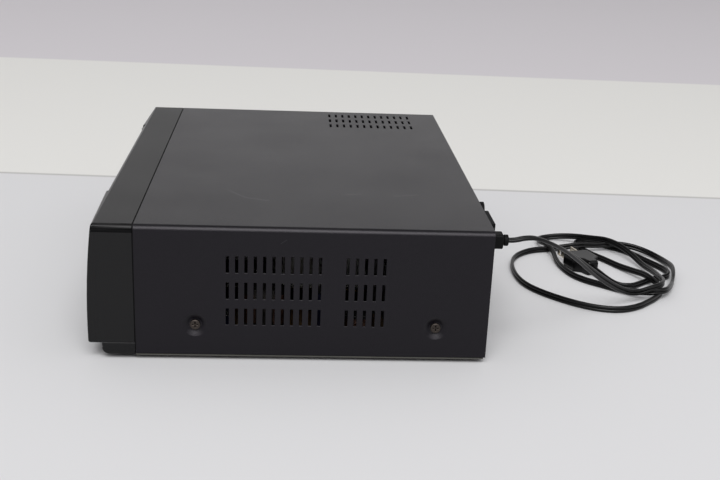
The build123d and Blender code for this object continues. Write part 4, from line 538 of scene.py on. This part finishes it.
def settled_dust():
    """Pale dust that settles in patches on faces that look up."""
    given = {
        "Colour": (0.5, 0.5, 0.5, 1.0),
        "Dust": (0.4, 0.38, 0.36, 1.0),
        "Amount": 0.1,
        "Patch Scale": 25.0,
    }
    group, value, result = shader_group("settled_dust", given, {"Colour": "NodeSocketColor"})
    place = new_node(group, "ShaderNodeTexCoord")
    height = new_node(group, "ShaderNodeSeparateXYZ", {0: place["Normal"]})["Z"]
    upward = math_node(group, "MAXIMUM", height, 0.0)
    spots = math_node(group, "POWER", noise(group, place["Object"], value["Patch Scale"], 6), 2.0)
    share = math_node(group, "MULTIPLY", math_node(group, "MULTIPLY", spots, upward), value["Amount"])
    feed(result["Colour"], mixed(group, share, value["Colour"], value["Dust"]))
    return group


def light_scratch():
    """A mask along one short straight scratch that breaks up and fades towards its edges."""
    given = {"Start": (0.0, 0.0, 0.0), "End": (0.01, 0.0, 0.0), "Width": 0.0004}
    group, value, result = shader_group("light_scratch", given, {"Mask": "NodeSocketFloat"})
    place = object_place(group)
    span = vector_node(group, "SUBTRACT", value["End"], value["Start"])[0]
    offset = vector_node(group, "SUBTRACT", place, value["Start"])[0]
    lengthwise = vector_node(group, "DOT_PRODUCT", offset, span)["Value"]
    whole = vector_node(group, "DOT_PRODUCT", span, span)["Value"]
    held = new_node(group, "ShaderNodeClamp", {"Value": math_node(group, "DIVIDE", lengthwise, whole)})[0]
    away = vector_node(group, "SUBTRACT", offset, scaled(group, span, held))[0]
    near = math_node(group, "DIVIDE", vector_node(group, "LENGTH", away)["Value"], value["Width"])
    inside = math_node(group, "MAXIMUM", math_node(group, "SUBTRACT", 1.0, near), 0.0)
    feed(result["Mask"], math_node(group, "MULTIPLY", inside, noise(group, place, 300.0)))
    return group


dust_group, scratch_group = settled_dust(), light_scratch()
house_dust = (0.25, 0.24, 0.24)


def sprayed_cover(scratches):
    """Fine-grained charcoal paint, dusty on top. Scratches are given as start, end and width in mm."""
    made, tree, shader = material("cover_paint")
    grain = use_group(
        tree, grain_group, Colour=(0.0030, 0.0026, 0.0044), Roughness=0.36,
        Tone_Drift=0.35, Gloss_Drift=0.1, Grain_Scale=1700.0, Grain_Depth=0.5,
    )
    dusty = use_group(tree, dust_group, Colour=grain["Colour"], Dust=house_dust, Amount=0.05)
    marks = 0.0
    for start, end, width in scratches:
        ends = {"Start": Vector(start) * mm, "End": Vector(end) * mm}
        mark = use_group(tree, scratch_group, Width=width * mm, **ends)
        marks = math_node(tree, "MAXIMUM", marks, mark["Mask"])
    worn = mixed(tree, math_node(tree, "MULTIPLY", marks, 0.5), dusty["Colour"], (0.16, 0.16, 0.17, 1))
    paint = {"Colour": worn, "Roughness": grain["Roughness"], "Normal": grain["Normal"]}
    surfaced(shader, paint, Specular_IOR_Level=0.29, Specular_Tint=(0.985, 0.945, 1.0, 1))
    return made


cover_marks = (
    ((95.6, -52.4, 97), (111.9, -39.6, 97), 1.2),
    ((111.9, -39.6, 97), (118.7, -23.6, 97), 1.3),
    ((99.8, 33.6, 97), (96.9, 44.9, 97), 1.1),
    ((101.0, 69.1, 97), (96.3, 87.0, 97), 1.3),
    ((180, -13.0, 86.2), (180, -9.1, 88.9), 0.2),
)


def opened_dimples(work, centres, rims, feet, depths):
    """Opens pressed dimples out to wide smooth dishes. rims, feet and depths hold the old and new size."""
    slack = 0.02  # as a share of the slope, and in mm off its face
    even = 0.15  # how much of the new fall is straight, while the rest is eased at rim and foot

    def down_the_slope(vertex):
        """How far down a dimple's slope a vertex lies, from 0 to 1, and the dimple's centre."""
        for centre in centres:
            radius = math.hypot(vertex.co.y - centre.y, vertex.co.z - centre.z)
            share = (rims[0] - radius) / (rims[0] - feet[0])
            fall = abs(centre.x) - abs(vertex.co.x)
            if -slack < share < 1 + slack and abs(fall - share * depths[0]) < slack * mm:
                if vertex.co.x * centre.x > 0:
                    return share, centre
        return None

    slants = []
    for edge in work.edges:
        ends = [down_the_slope(v) for v in edge.verts]
        if None not in ends and abs(ends[0][0] - ends[1][0]) > 0.9:  # from the rim to the foot
            slants.append(edge)
    bmesh.ops.subdivide_edges(work, edges=slants, cuts=9, use_grid_fill=True)
    for vertex, (share, centre) in [(v, found) for v in work.verts if (found := down_the_slope(v))]:
        out = Vector((0, vertex.co.y - centre.y, vertex.co.z - centre.z)).normalized()
        fall = even * share + (1 - even) * eased(share)
        vertex.co = centre + out * (rims[1] + (feet[1] - rims[1]) * share)
        vertex.co.x -= math.copysign(fall * depths[1], centre.x)


def weighted_edges(work, front, rear, at_ends=0.35, ends=1 * mm):
    """Weights the sheet's corners for its bevel: the slots' and holes' in full, the two ends' less."""
    broken = work.edges.layers.float.new("bevel_weight_edge")
    for edge in work.edges:
        if len(edge.link_faces) == 2 and edge.calc_face_angle() > math.radians(40):
            at_end = any(v.co.y < front + ends or v.co.y > rear - ends for v in edge.verts)
            edge[broken] = at_ends if at_end else 1.0


cover_paint = sprayed_cover(cover_marks)
cover = dressed("top_cover", cover_paint, edge=0.35 * mm)
cover.modifiers["broken_corners"].limit_method = "WEIGHT"
cover_low, cover_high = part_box("top_cover")
screw_height, front_inset, rear_inset = 26 * mm, 40.4 * mm, 36.5 * mm
screw_ys = (cover_low.y + front_inset, cover_high.y - rear_inset)
dimples = [Vector((x, y, screw_height)) for x in (cover_low.x, cover_high.x) for y in screw_ys]
sheet = bmesh.new()
sheet.from_mesh(cover.data)
opened_dimples(
    sheet, dimples, rims=(6.6 * mm, 8.5 * mm), feet=(5.0 * mm, 4.6 * mm), depths=(1.4 * mm, 2.0 * mm)
)
weighted_edges(sheet, cover_low.y, cover_high.y)
sheet.to_mesh(cover.data)
sheet.free()
smoothed(cover.data, 25)


# ---- Case screws ------------------------------------------------------------------------
# Thread-forming screws with recessed cross heads, blackened and browned with age. Four
# hold the cover's sides and three its rear edge.

screw_black = grained("screw_black", (0.05, 0.041, 0.036), 0.34, scale=900.0, depth=0.5, Metallic=0.85)
dressed("case_screws", screw_black, edge=0.3 * mm)


# ---- Rear panel and sockets -------------------------------------------------------------
# A moulded black plate carries a block of phono sockets, two aerial sockets on their
# tinned tuner can and the gland of the supply lead. The phono sleeves stand in coloured cups.

panel_plastic = grained("panel_plastic", (0.011, 0.011, 0.012), 0.5, scale=1300.0, depth=0.3)
dressed("rear_panel", panel_plastic, edge=0.2 * mm)
jack_plastic = grained("jack_plastic", (0.005, 0.005, 0.0055), 0.65, depth=0.15, Specular_IOR_Level=0.12)
dressed("av_jack_block", jack_plastic, edge=0.2 * mm)
gland_plastic = grained(
    "gland_plastic", (0.003, 0.003, 0.0033), 0.6, scale=1200.0, depth=0.15, Specular_IOR_Level=0.12
)
socket_metal = rolled(
    "socket_metal", (0.74, 0.73, 0.71), 0.2, streaks=0.1, flowers=0.0, stretch=(900.0, 60.0, 900.0)
)
dressed("socket_sleeves", socket_metal, edge=0.15 * mm)
dressed("aerial_shells", gland_plastic, edge=0.3 * mm, slot="socket_metal")
dressed("strain_relief", gland_plastic, edge=0.3 * mm, slot="gland_plastic")
tin_plate = rolled("tin_plate", (0.66, 0.66, 0.64), 0.3)
dressed("tuner_can", tin_plate, edge=0.2 * mm)


def turned_rings(name, profile, centres, steps=40):
    """One closed ring round each (x, z) centre, turned about an axis along Y from (radius, y) pairs."""
    vertices, faces = [], []
    count = len(profile)
    for x, z in centres:
        start = len(vertices)
        for turn in range(steps):
            across, up = math.cos(math.tau * turn / steps), math.sin(math.tau * turn / steps)
            vertices += [(x + radius * across, y, z + radius * up) for radius, y in profile]
            here, there = start + turn * count, start + (turn + 1) % steps * count
            for k, after in zip(range(count), (*range(1, count), 0)):
                faces.append((here + k, there + k, there + after, here + after))
    return smoothed(new_mesh(name, vertices, faces), 50)


jack_low, jack_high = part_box("av_jack_block")
jack_middle = (jack_low + jack_high) / 2
half_pitch, cup_bore, cup_radius, cup_edge = 7.5 * mm, 4.5 * mm, 6.3 * mm, 0.3 * mm
cup_mouth, cup_floor = jack_high.y - 3.0 * mm, jack_high.y - 8.8 * mm
cup_lip = cup_mouth - 0.4 * mm
cup = (
    (cup_bore, cup_floor), (cup_bore, cup_lip), (cup_bore + cup_edge, cup_mouth),
    (cup_radius - cup_edge, cup_mouth), (cup_radius, cup_lip), (cup_radius, cup_floor),
)
for name, side, colour in (("video", -1, (0.62, 0.42, 0.02)), ("audio", 1, (0.6, 0.59, 0.55))):
    cup_plastic = grained(name + "_cup", colour, 0.4, scale=1200.0, depth=0.08)
    column = jack_middle.x + side * half_pitch
    centres = ((column, jack_middle.z - half_pitch), (column, jack_middle.z + half_pitch))
    cups = turned_rings(name + "_cups", cup, centres)
    shown(name + "_cups", cups, cup_plastic, "recorder", slot="jack_plastic")


# ---- Moulded front ----------------------------------------------------------------------
# The bezel is black moulded plastic with a spark-eroded grain and a polished band round
# its upper edge, whose darker tone and weak specular are a painted dark reflection. It
# clips to the tray. The skirt below and the cassette door are polished.


def moulded_front():
    """Grained black plastic, glossy on the face and dull in the rebate against the cover."""
    made, tree, shader = material("bezel_gloss")
    front, rear = (corner.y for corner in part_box("front_bezel"))
    depth = new_node(tree, "ShaderNodeSeparateXYZ", {0: object_place(tree)})["Y"]
    on_face = math_node(tree, "LESS_THAN", depth, front + glossy_depth)
    in_rebate = math_node(tree, "GREATER_THAN", depth, rear - rebate_width)
    roughness = mixed(tree, on_face, 0.42, 0.14, "FLOAT")
    relief = mixed(tree, on_face, 0.32, 0.02, "FLOAT")
    grain = use_group(
        tree, grain_group, Colour=(0.0022, 0.0021, 0.0025), Roughness=roughness,
        Tone_Drift=0.4, Gloss_Drift=0.08, Grain_Scale=1500.0, Grain_Depth=relief,
    )
    dusty = use_group(tree, dust_group, Colour=grain["Colour"], Dust=house_dust, Amount=0.04)
    gloss = math_node(tree, "MAXIMUM", grain["Roughness"], in_rebate)
    moulded = {"Colour": dusty["Colour"], "Roughness": gloss, "Normal": grain["Normal"]}
    surfaced(shader, moulded, Specular_IOR_Level=0.31)
    return made


def banded(piece, low, high, finish):
    """Cuts the piece's faces at two heights and gives those between them another finish."""
    slack = 0.001 * mm
    work = bmesh.new()
    work.from_mesh(piece.data)
    for height in (low, high):
        every = work.verts[:] + work.edges[:] + work.faces[:]
        bmesh.ops.bisect_plane(work, geom=every, plane_co=(0, 0, height), plane_no=(0, 0, 1))
    for face in work.faces:
        if all(low - slack <= v.co.z <= high + slack for v in face.verts) and abs(face.normal.z) < 0.5:
            face.material_index = 1
    work.to_mesh(piece.data)
    work.free()
    piece.data.materials.append(finish)


glossy_depth, rebate_width = 7.5 * mm, 0.95 * mm
band_low, band_high = 91.6 * mm, 96.2 * mm
polish = {"scale": 900.0, "depth": 0.02}
# The band is polished, and its darker black and weak specular are a painted dark reflection.
bezel_band = grained(
    "bezel_band", (0.0015, 0.0015, 0.0018), 0.16, scale=900.0, depth=0.03, Specular_IOR_Level=0.1
)
bezel = dressed("front_bezel", moulded_front())
banded(bezel, band_low, band_high, bezel_band)
skirt_plastic = grained("skirt_plastic", (0.005, 0.005, 0.0055), 0.2, Specular_IOR_Level=0.25, **polish)
dressed("front_skirt", skirt_plastic, edge=0.4 * mm)
door_gloss = grained("door_gloss", (0.005, 0.005, 0.0055), 0.16, Specular_IOR_Level=0.4, **polish)
dressed("cassette_door", door_gloss, edge=0.3 * mm, slot="bezel_gloss")


# ---- Buttons ----------------------------------------------------------------------------
# Nine moulded black caps in the bezel. Each carries a plain transport sign, which is
# pad-printed in pale ink, or in red on the recording button.


def arc(middle, outer, inner, start, end, steps=28):
    """The outline of a flat ring or disc between two angles in degrees."""
    turns = [math.radians(start + (end - start) * i / steps) for i in range(steps + 1)]
    rim = [(middle[0] + outer * math.cos(t), middle[1] + outer * math.sin(t)) for t in turns]
    bore = [(middle[0] + inner * math.cos(t), middle[1] + inner * math.sin(t)) for t in reversed(turns)]
    return rim + bore if inner else rim[:-1]


def bar(x, z, width, height):
    """An upright rectangle round its middle."""
    return [(x + width / 2 * i, z + height / 2 * k) for i, k in ((-1, -1), (1, -1), (1, 1), (-1, 1))]


def arrow(x, z, run, rise):
    """A triangle that points along run or rise, whichever isn't 0."""
    across, up = -rise * 0.9, run * 0.9
    return [(x - run + across, z - rise + up), (x - run - across, z - rise - up), (x + run, z + rise)]


def printed(name, node, outlines, ink, clear=0.02 * mm):
    """Flat ink outlines on the node's front face, in mm from its middle, that ride on its body."""
    low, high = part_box(node)
    middle = (low + high) / 2
    vertices, faces = [], []
    for outline in outlines:
        faces.append(range(len(vertices), len(vertices) + len(outline)))
        vertices += [(middle.x + x * mm, low.y - clear, middle.z + z * mm) for x, z in outline]
    solid = frame["nodes"][node]
    slot = solid.data.materials[0].name if solid.data.materials else None
    slot = slot if slot in slots else "button_black"
    return shown(name, new_mesh(name, vertices, faces), ink, solid["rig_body"], slot=slot)


button_black = grained("button_black", (0.008, 0.008, 0.0085), 0.3, scale=1400.0, depth=0.08)
pale_ink = grained("pale_ink", (0.42, 0.42, 0.43), 0.55, tone=0.4, scale=2600.0, depth=0.05)
red_ink = grained("red_ink", (0.45, 0.03, 0.02), 0.55, tone=0.4, scale=2600.0, depth=0.05)
signs = {
    "power": (arc((0, 0), 2.1, 1.7, 125, 415), bar(0, 1.5, 0.4, 2.0)),
    "eject": (arrow(0, 0.5, 0, 1.3), bar(0, -1.9, 4.0, 0.8)),
    "channel": (arrow(-19, 0, 0, -1.4), arrow(19, 0, 0, 1.4)),
    "play": (arrow(0, 0, 1.9, 0),),
    "stop": (bar(0, 0, 3.4, 3.4),),
    "rewind": (arrow(-1.3, 0, -1.2, 0), arrow(1.3, 0, -1.2, 0)),
    "forward": (arrow(-1.3, 0, 1.2, 0), arrow(1.3, 0, 1.2, 0)),
    "record": (arc((0, 0), 1.5, 0, 0, 360),),
    "pause": (bar(-0.9, 0, 0.9, 3.0), bar(0.9, 0, 0.9, 3.0)),
}
for name, outlines in signs.items():
    dressed(name + "_button", button_black, edge=0.35 * mm)
    printed(name + "_sign", name + "_button", outlines, red_ink if name == "record" else pale_ink)


# ---- Display ----------------------------------------------------------------------------
# A smoked acrylic window, snapped into the bezel, covers a sealed fluorescent display.
# Its phosphor segments are unlit and show as a faint green-grey pattern behind the glass.


def digit(x, half=2.1, rise=3.4, width=0.75, lean=0.12):
    """The seven pointed segments of one figure, which leans to the right."""
    point, side_gap, end_gap = width / 2, 0.5, 0.35
    far, tall = half - side_gap, rise / 2 - end_gap
    near = far - point
    level = [(-far, 0), (-near, -point), (near, -point), (far, 0), (near, point), (-near, point)]
    upright = [
        (0, -tall), (point, point - tall), (point, tall - point),
        (0, tall), (-point, tall - point), (-point, point - tall),
    ]
    segments = [[(u, v + z) for u, v in level] for z in (-rise, 0, rise)]
    for side in (-half, half):
        segments += [[(side + u, v + z) for u, v in upright] for z in (-rise / 2, rise / 2)]
    return [[(x + u + lean * v, v) for u, v in segment] for segment in segments]


window_tint = grained(
    "window_tint", (0.16, 0.157, 0.165), 0.06, depth=0.0, Transmission_Weight=0.85, IOR=1.49
)
dressed("display_window", window_tint, edge=0.2 * mm)
display_glass = grained("display_glass", (0.02, 0.035, 0.033), 0.12, depth=0.0)
dressed("display_module", display_glass, edge=0.2 * mm)
phosphor = grained("phosphor", (0.32, 0.4, 0.35), 0.6, scale=2000.0, depth=0.05)
figures = [segment for x in (-16.5, -8.5, 2.5, 10.5) for segment in digit(x)]
colon = [arc((-3.2, z), 0.5, 0, 0, 360, 16) for z in (-1.4, 1.4)]
printed("display_figures", "display_module", figures + colon, phosphor)


# ---- Circuit boards ---------------------------------------------------------------------
# Paper-based boards, varnished over their copper side. Chips, coils, a connector and
# sleeved capacitors stand on them, and a flat cable joins the main board to the front one.


def by_part(piece, choose, *finishes):
    """Gives each loose part's faces the finish that choose picks from the part's size and the face."""
    work = bmesh.new()
    work.from_mesh(piece.data)
    waiting = set(work.faces)
    while waiting:
        part, edge = set(), [min(waiting, key=lambda f: f.index)]
        while edge:
            face = edge.pop()
            if face not in part:
                part.add(face)
                edge += [other for side in face.edges for other in side.link_faces if other not in part]
        waiting -= part
        spots = [v.co for face in part for v in face.verts]
        size = [(max(c[i] for c in spots) - min(c[i] for c in spots)) / mm for i in range(3)]
        for face in part:
            face.material_index = choose(size, face.normal)
    work.to_mesh(piece.data)
    work.free()
    for finish in finishes:
        piece.data.materials.append(finish)


def component_kind(size, normal):
    """The finish of one face, as a number in the order below, from what its part must be."""
    dark, sleeve, bare, nylon, ceramic, copper = range(6)
    across, deep, height = size
    if height > 5 and abs(across - deep) < 0.5:  # a round can, with a stripe down its sleeve
        striped = -normal.x * 0.8 - normal.y * 0.6 > 0.93
        return bare if normal.z > 0.7 else nylon if striped else sleeve
    if height < 3:  # a flat chip
        return dark
    if height < 5:  # a hybrid circuit, or the cable's header
        return ceramic if across > 10 else nylon
    if abs(height - 13) < 0.5:  # a coil
        return copper
    if across < 17:  # the socket for the lead's inner end
        return nylon
    return bare if height < 13 else dark  # the fuse in its clips, or the choke's core


board_tan = grained("board_tan", (0.13, 0.075, 0.032), 0.5, scale=600.0, depth=0.1)
for node in ("front_board", "main_board", "power_board"):
    dressed(node, board_tan, edge=0.1 * mm)
component_mixed = grained("component_mixed", (0.012, 0.012, 0.013), 0.4, scale=1200.0)
can_sleeve = grained("can_sleeve", (0.012, 0.014, 0.04), 0.3, scale=800.0, depth=0.03)
bare_aluminium = rolled("bare_aluminium", (0.38, 0.38, 0.39), 0.4, streaks=0.1, flowers=0.0)
pale_nylon = grained("pale_nylon", (0.5, 0.49, 0.45), 0.4, scale=900.0)
brown_ceramic = grained("brown_ceramic", (0.16, 0.07, 0.03), 0.35, scale=900.0)
wound_copper = rolled(
    "wound_copper", (0.42, 0.17, 0.07), 0.35, streaks=0.5, flowers=0.0, stretch=(1500.0, 1500.0, 9000.0)
)
others = (can_sleeve, bare_aluminium, pale_nylon, brown_ceramic, wound_copper)
for node in ("main_components", "power_components"):
    by_part(dressed(node, component_mixed, edge=0.3 * mm), component_kind, *others)
ribbon_grey = grained("ribbon_grey", (0.2, 0.2, 0.21), 0.45, scale=700.0, depth=0.05)
ribbon_route = (
    (-146, -88, 11.4), (-146, -93, 11.6), (-146, -100, 12.6), (-146, -108, 16), (-146, -113, 23),
    (-146, -114.5, 30), (-146, -116.5, 35), (-146, -119.6, 37),
)
ribbon_section = cores_section(16, 1.25 * mm, 0.7 * mm, 4)
ribbon = flat_lead("board_ribbon", eased_path("ribbon_route", ribbon_route), ribbon_section)
shown("board_ribbon", ribbon, ribbon_grey, "recorder", slot="component_mixed")


# ---- Power supply -----------------------------------------------------------------------
# A stacked-core transformer and a choke, both wound with enamelled wire. The heat sinks
# are a folded plate beside them and a finned bar under the top slots. The lead's inner end
# drops from the gland to a socket on the board.


def wire_turns():
    """Turns of wire stacked upwards round a rectangular former, as a node tree with its own inputs."""
    tree = bpy.data.node_groups.new("wire_turns", "GeometryNodeTree")
    lengths = ("Width", "Depth", "Corner", "Wire Radius", "Pitch", "Wander")
    given = {label: "NodeSocketFloat" for label in lengths}
    given.update({"Turns": "NodeSocketInt", "Seed": "NodeSocketInt", "Material": "NodeSocketMaterial"})
    for label, kind in given.items():
        tree.interface.new_socket(label, in_out="INPUT", socket_type=kind)
    tree.interface.new_socket("Geometry", in_out="OUTPUT", socket_type="NodeSocketGeometry")
    value = tree.nodes.new("NodeGroupInput").outputs
    sides = {"Width": value["Width"], "Height": value["Depth"]}
    former = new_node(tree, "GeometryNodeCurvePrimitiveQuadrilateral", sides)[0]
    corners = {"Curve": former, "Radius": value["Corner"], "Count": 5}
    rounded = new_node(tree, "GeometryNodeFilletCurve", corners, mode="POLY")[0]
    round_wire = {"Radius": value["Wire Radius"], "Resolution": 6}
    wire = new_node(tree, "GeometryNodeCurvePrimitiveCircle", round_wire)[0]
    one_turn = new_node(tree, "GeometryNodeCurveToMesh", {"Curve": rounded, "Profile Curve": wire})[0]
    step = new_node(tree, "ShaderNodeCombineXYZ", {"Z": value["Pitch"]})[0]
    stack = new_node(tree, "GeometryNodeMeshLine", {"Count": value["Turns"], "Offset": step})[0]
    reach = [math_node(tree, "MULTIPLY", value["Wander"], sign) for sign in (-1.0, 1.0)]
    low, high = (new_node(tree, "ShaderNodeCombineXYZ", {"X": side, "Y": side})[0] for side in reach)
    limits = {"Min": low, "Max": high, "Seed": value["Seed"]}
    slip = new_node(tree, "FunctionNodeRandomValue", limits, data_type="FLOAT_VECTOR")["Value"]
    spread = new_node(tree, "GeometryNodeSetPosition", {"Geometry": stack, "Offset": slip})[0]
    turns = new_node(tree, "GeometryNodeInstanceOnPoints", {"Points": spread, "Instance": one_turn})[0]
    whole = new_node(tree, "GeometryNodeRealizeInstances", {0: turns})[0]
    finish = {"Geometry": whole, "Material": value["Material"]}
    painted = new_node(tree, "GeometryNodeSetMaterial", finish)[0]
    feed(tree.nodes.new("NodeGroupOutput").inputs["Geometry"], painted)
    return tree


def wound(name, tree, at, finish, **given):
    """A winding as a plain mesh. at is the middle of its lowest turn."""
    holder = bpy.data.objects.new(name, bpy.data.meshes.new(name + "_holder"))
    turns = holder.modifiers.new("turns", "NODES")
    turns.node_group = tree
    values = {label.replace("_", " "): value for label, value in given.items()}
    values["Material"] = finish
    for item in tree.interface.items_tree:
        if item.in_out == "INPUT":
            turns[item.identifier] = values[item.name]
    made = as_plain_mesh(holder)
    made.transform(Matrix.Translation(at))
    made.shade_smooth()
    return shown(name, made, finish, "recorder", slot="component_mixed")


# The sinks' very dark tone is painted shade for the inside of the case behind the top slots.
sink_aluminium = rolled("sink_aluminium", (0.12, 0.12, 0.125), 0.45)
dressed("heat_sinks", sink_aluminium, edge=0.15 * mm)
core_steel = rolled(
    "core_steel", (0.07, 0.065, 0.06), 0.5, streaks=0.6, flowers=0.0, stretch=(60.0, 60.0, 2600.0)
)
dressed("transformer", core_steel, edge=0.15 * mm)
enamelled_wire = grained(
    "enamelled_wire", (0.045, 0.016, 0.008), 0.3, tone=0.5, scale=500.0, depth=0.03, Metallic=0.6
)
turn_tree = wire_turns()
core_low, core_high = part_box("transformer")
core_middle = (core_low + core_high) / 2
first_turn = Vector((core_middle.x, core_middle.y, core_low.z + 7.6 * mm))
wound(
    "transformer_winding", turn_tree, first_turn, enamelled_wire,
    Width=20.3 * mm, Depth=30.3 * mm, Corner=4 * mm,
    Wire_Radius=0.34 * mm, Pitch=0.7 * mm, Turns=31, Wander=0.08 * mm, Seed=4,
)
choke_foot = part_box("power_board")[1] + Vector((-18, -76, 2)) * mm
wound(
    "choke_winding", turn_tree, choke_foot, enamelled_wire,
    Width=22.4 * mm, Depth=20.4 * mm, Corner=3.2 * mm,
    Wire_Radius=0.5 * mm, Pitch=1.02 * mm, Turns=14, Wander=0.1 * mm, Seed=9,
)
inner_route = (
    (157, 125.9, 84), (157, 121, 83.7), (157.5, 115, 78),
    (158.5, 110, 62), (159.5, 107.5, 44), (160, 105, 28.7),
)
inner_lead = flat_lead("inner_lead", eased_path("inner_route", inner_route), lead_section)
shown("inner_lead", inner_lead, cord_vinyl, "recorder")


# ---- Deck and drum ----------------------------------------------------------------------
# The deck is stamped from plated steel. The drum's base is die cast, and its two halves
# are diamond-turned aluminium, so that fine rings run round them.

deck_steel = rolled("deck_steel", (0.5, 0.5, 0.48), 0.36)
dressed("deck_plate", deck_steel)
cast_alloy = grained("cast_alloy", (0.5, 0.5, 0.51), 0.5, scale=500.0, depth=0.3, Metallic=1.0)
dressed("drum_base", cast_alloy, edge=0.3 * mm)
drum_alloy = rolled(
    "drum_alloy", (0.8, 0.8, 0.81), 0.12, streaks=0.05, flowers=0.0, stretch=(300.0, 300.0, 6000.0)
)
dressed("lower_drum", drum_alloy)
dressed("upper_drum", drum_alloy)


# ---- Tape path --------------------------------------------------------------------------
# Polished guides, two heads with lapped metal faces, the ground capstan on its brass
# flywheel, and a rubber roller whose steel arm presses the tape to it. A second arm feels
# the tape's tension.

guide_steel = rolled("guide_steel", (0.75, 0.75, 0.75), 0.15, streaks=0.05, flowers=0.0)
for node in ("supply_guide", "takeup_guide", "capstan_shaft"):
    dressed(node, guide_steel, edge=0.1 * mm)
head_metal = rolled("head_metal", (0.6, 0.58, 0.55), 0.2, streaks=0.05, flowers=0.0)
dressed("erase_head", head_metal, edge=0.2 * mm)
dressed("audio_head", head_metal, edge=0.2 * mm)
brass_wheel = rolled("brass_wheel", (0.7, 0.5, 0.25), 0.3, streaks=0.1, flowers=0.0)
dressed("flywheel", brass_wheel, edge=0.3 * mm)
pinch_rubber = grained("pinch_rubber", (0.012, 0.012, 0.012), 0.6)
dressed("pinch_roller", pinch_rubber, edge=0.3 * mm)
for node in ("pinch_arm", "tension_arm"):
    dressed(node, deck_steel, edge=0.1 * mm)


# ---- Reel drive -------------------------------------------------------------------------
# Moulded reel tables with driving blades, an acetal idler gear that swings between them
# on a steel arm, and a rubber belt from the capstan to the clutch.

reel_plastic = grained("reel_plastic", (0.02, 0.02, 0.022), 0.4)
dressed("supply_reel", reel_plastic, edge=0.2 * mm)
dressed("takeup_reel", reel_plastic, edge=0.2 * mm)
slider_plastic = grained("slider_plastic", (0.7, 0.68, 0.6), 0.45)
dressed("clutch_pulley", slider_plastic, edge=0.2 * mm)
dressed("idler_arm", deck_steel, edge=0.1 * mm)
gear_white = grained("gear_white", (0.78, 0.76, 0.7), 0.4)
dressed("idler_gear", gear_white, edge=0.1 * mm)
belt_rubber = grained("belt_rubber", (0.01, 0.01, 0.01), 0.6)
dressed("drive_belt", belt_rubber)


# ---- Loading drive ----------------------------------------------------------------------
# A small motor in a drawn steel can turns a moulded worm, and the worm turns the cam gear
# that times the tape threading. Both are plain acetal.

dressed("cam_gear", gear_white, edge=0.1 * mm)
dressed("loading_worm", gear_white, edge=0.1 * mm)
motor_can = rolled("motor_can", (0.55, 0.55, 0.53), 0.35)
dressed("loading_motor", motor_can, edge=0.3 * mm)


# ---- Cassette lift ----------------------------------------------------------------------
# The frame and the sprung holder are folded from plated steel sheet. Moulded sliders in
# the frame's slots carry the holder in and down.

lift_steel = rolled("lift_steel", (0.32, 0.32, 0.31), 0.36)
dressed("carriage_frame", lift_steel)
dressed("cassette_holder", lift_steel)
dressed("lift_sliders", slider_plastic, edge=0.3 * mm)
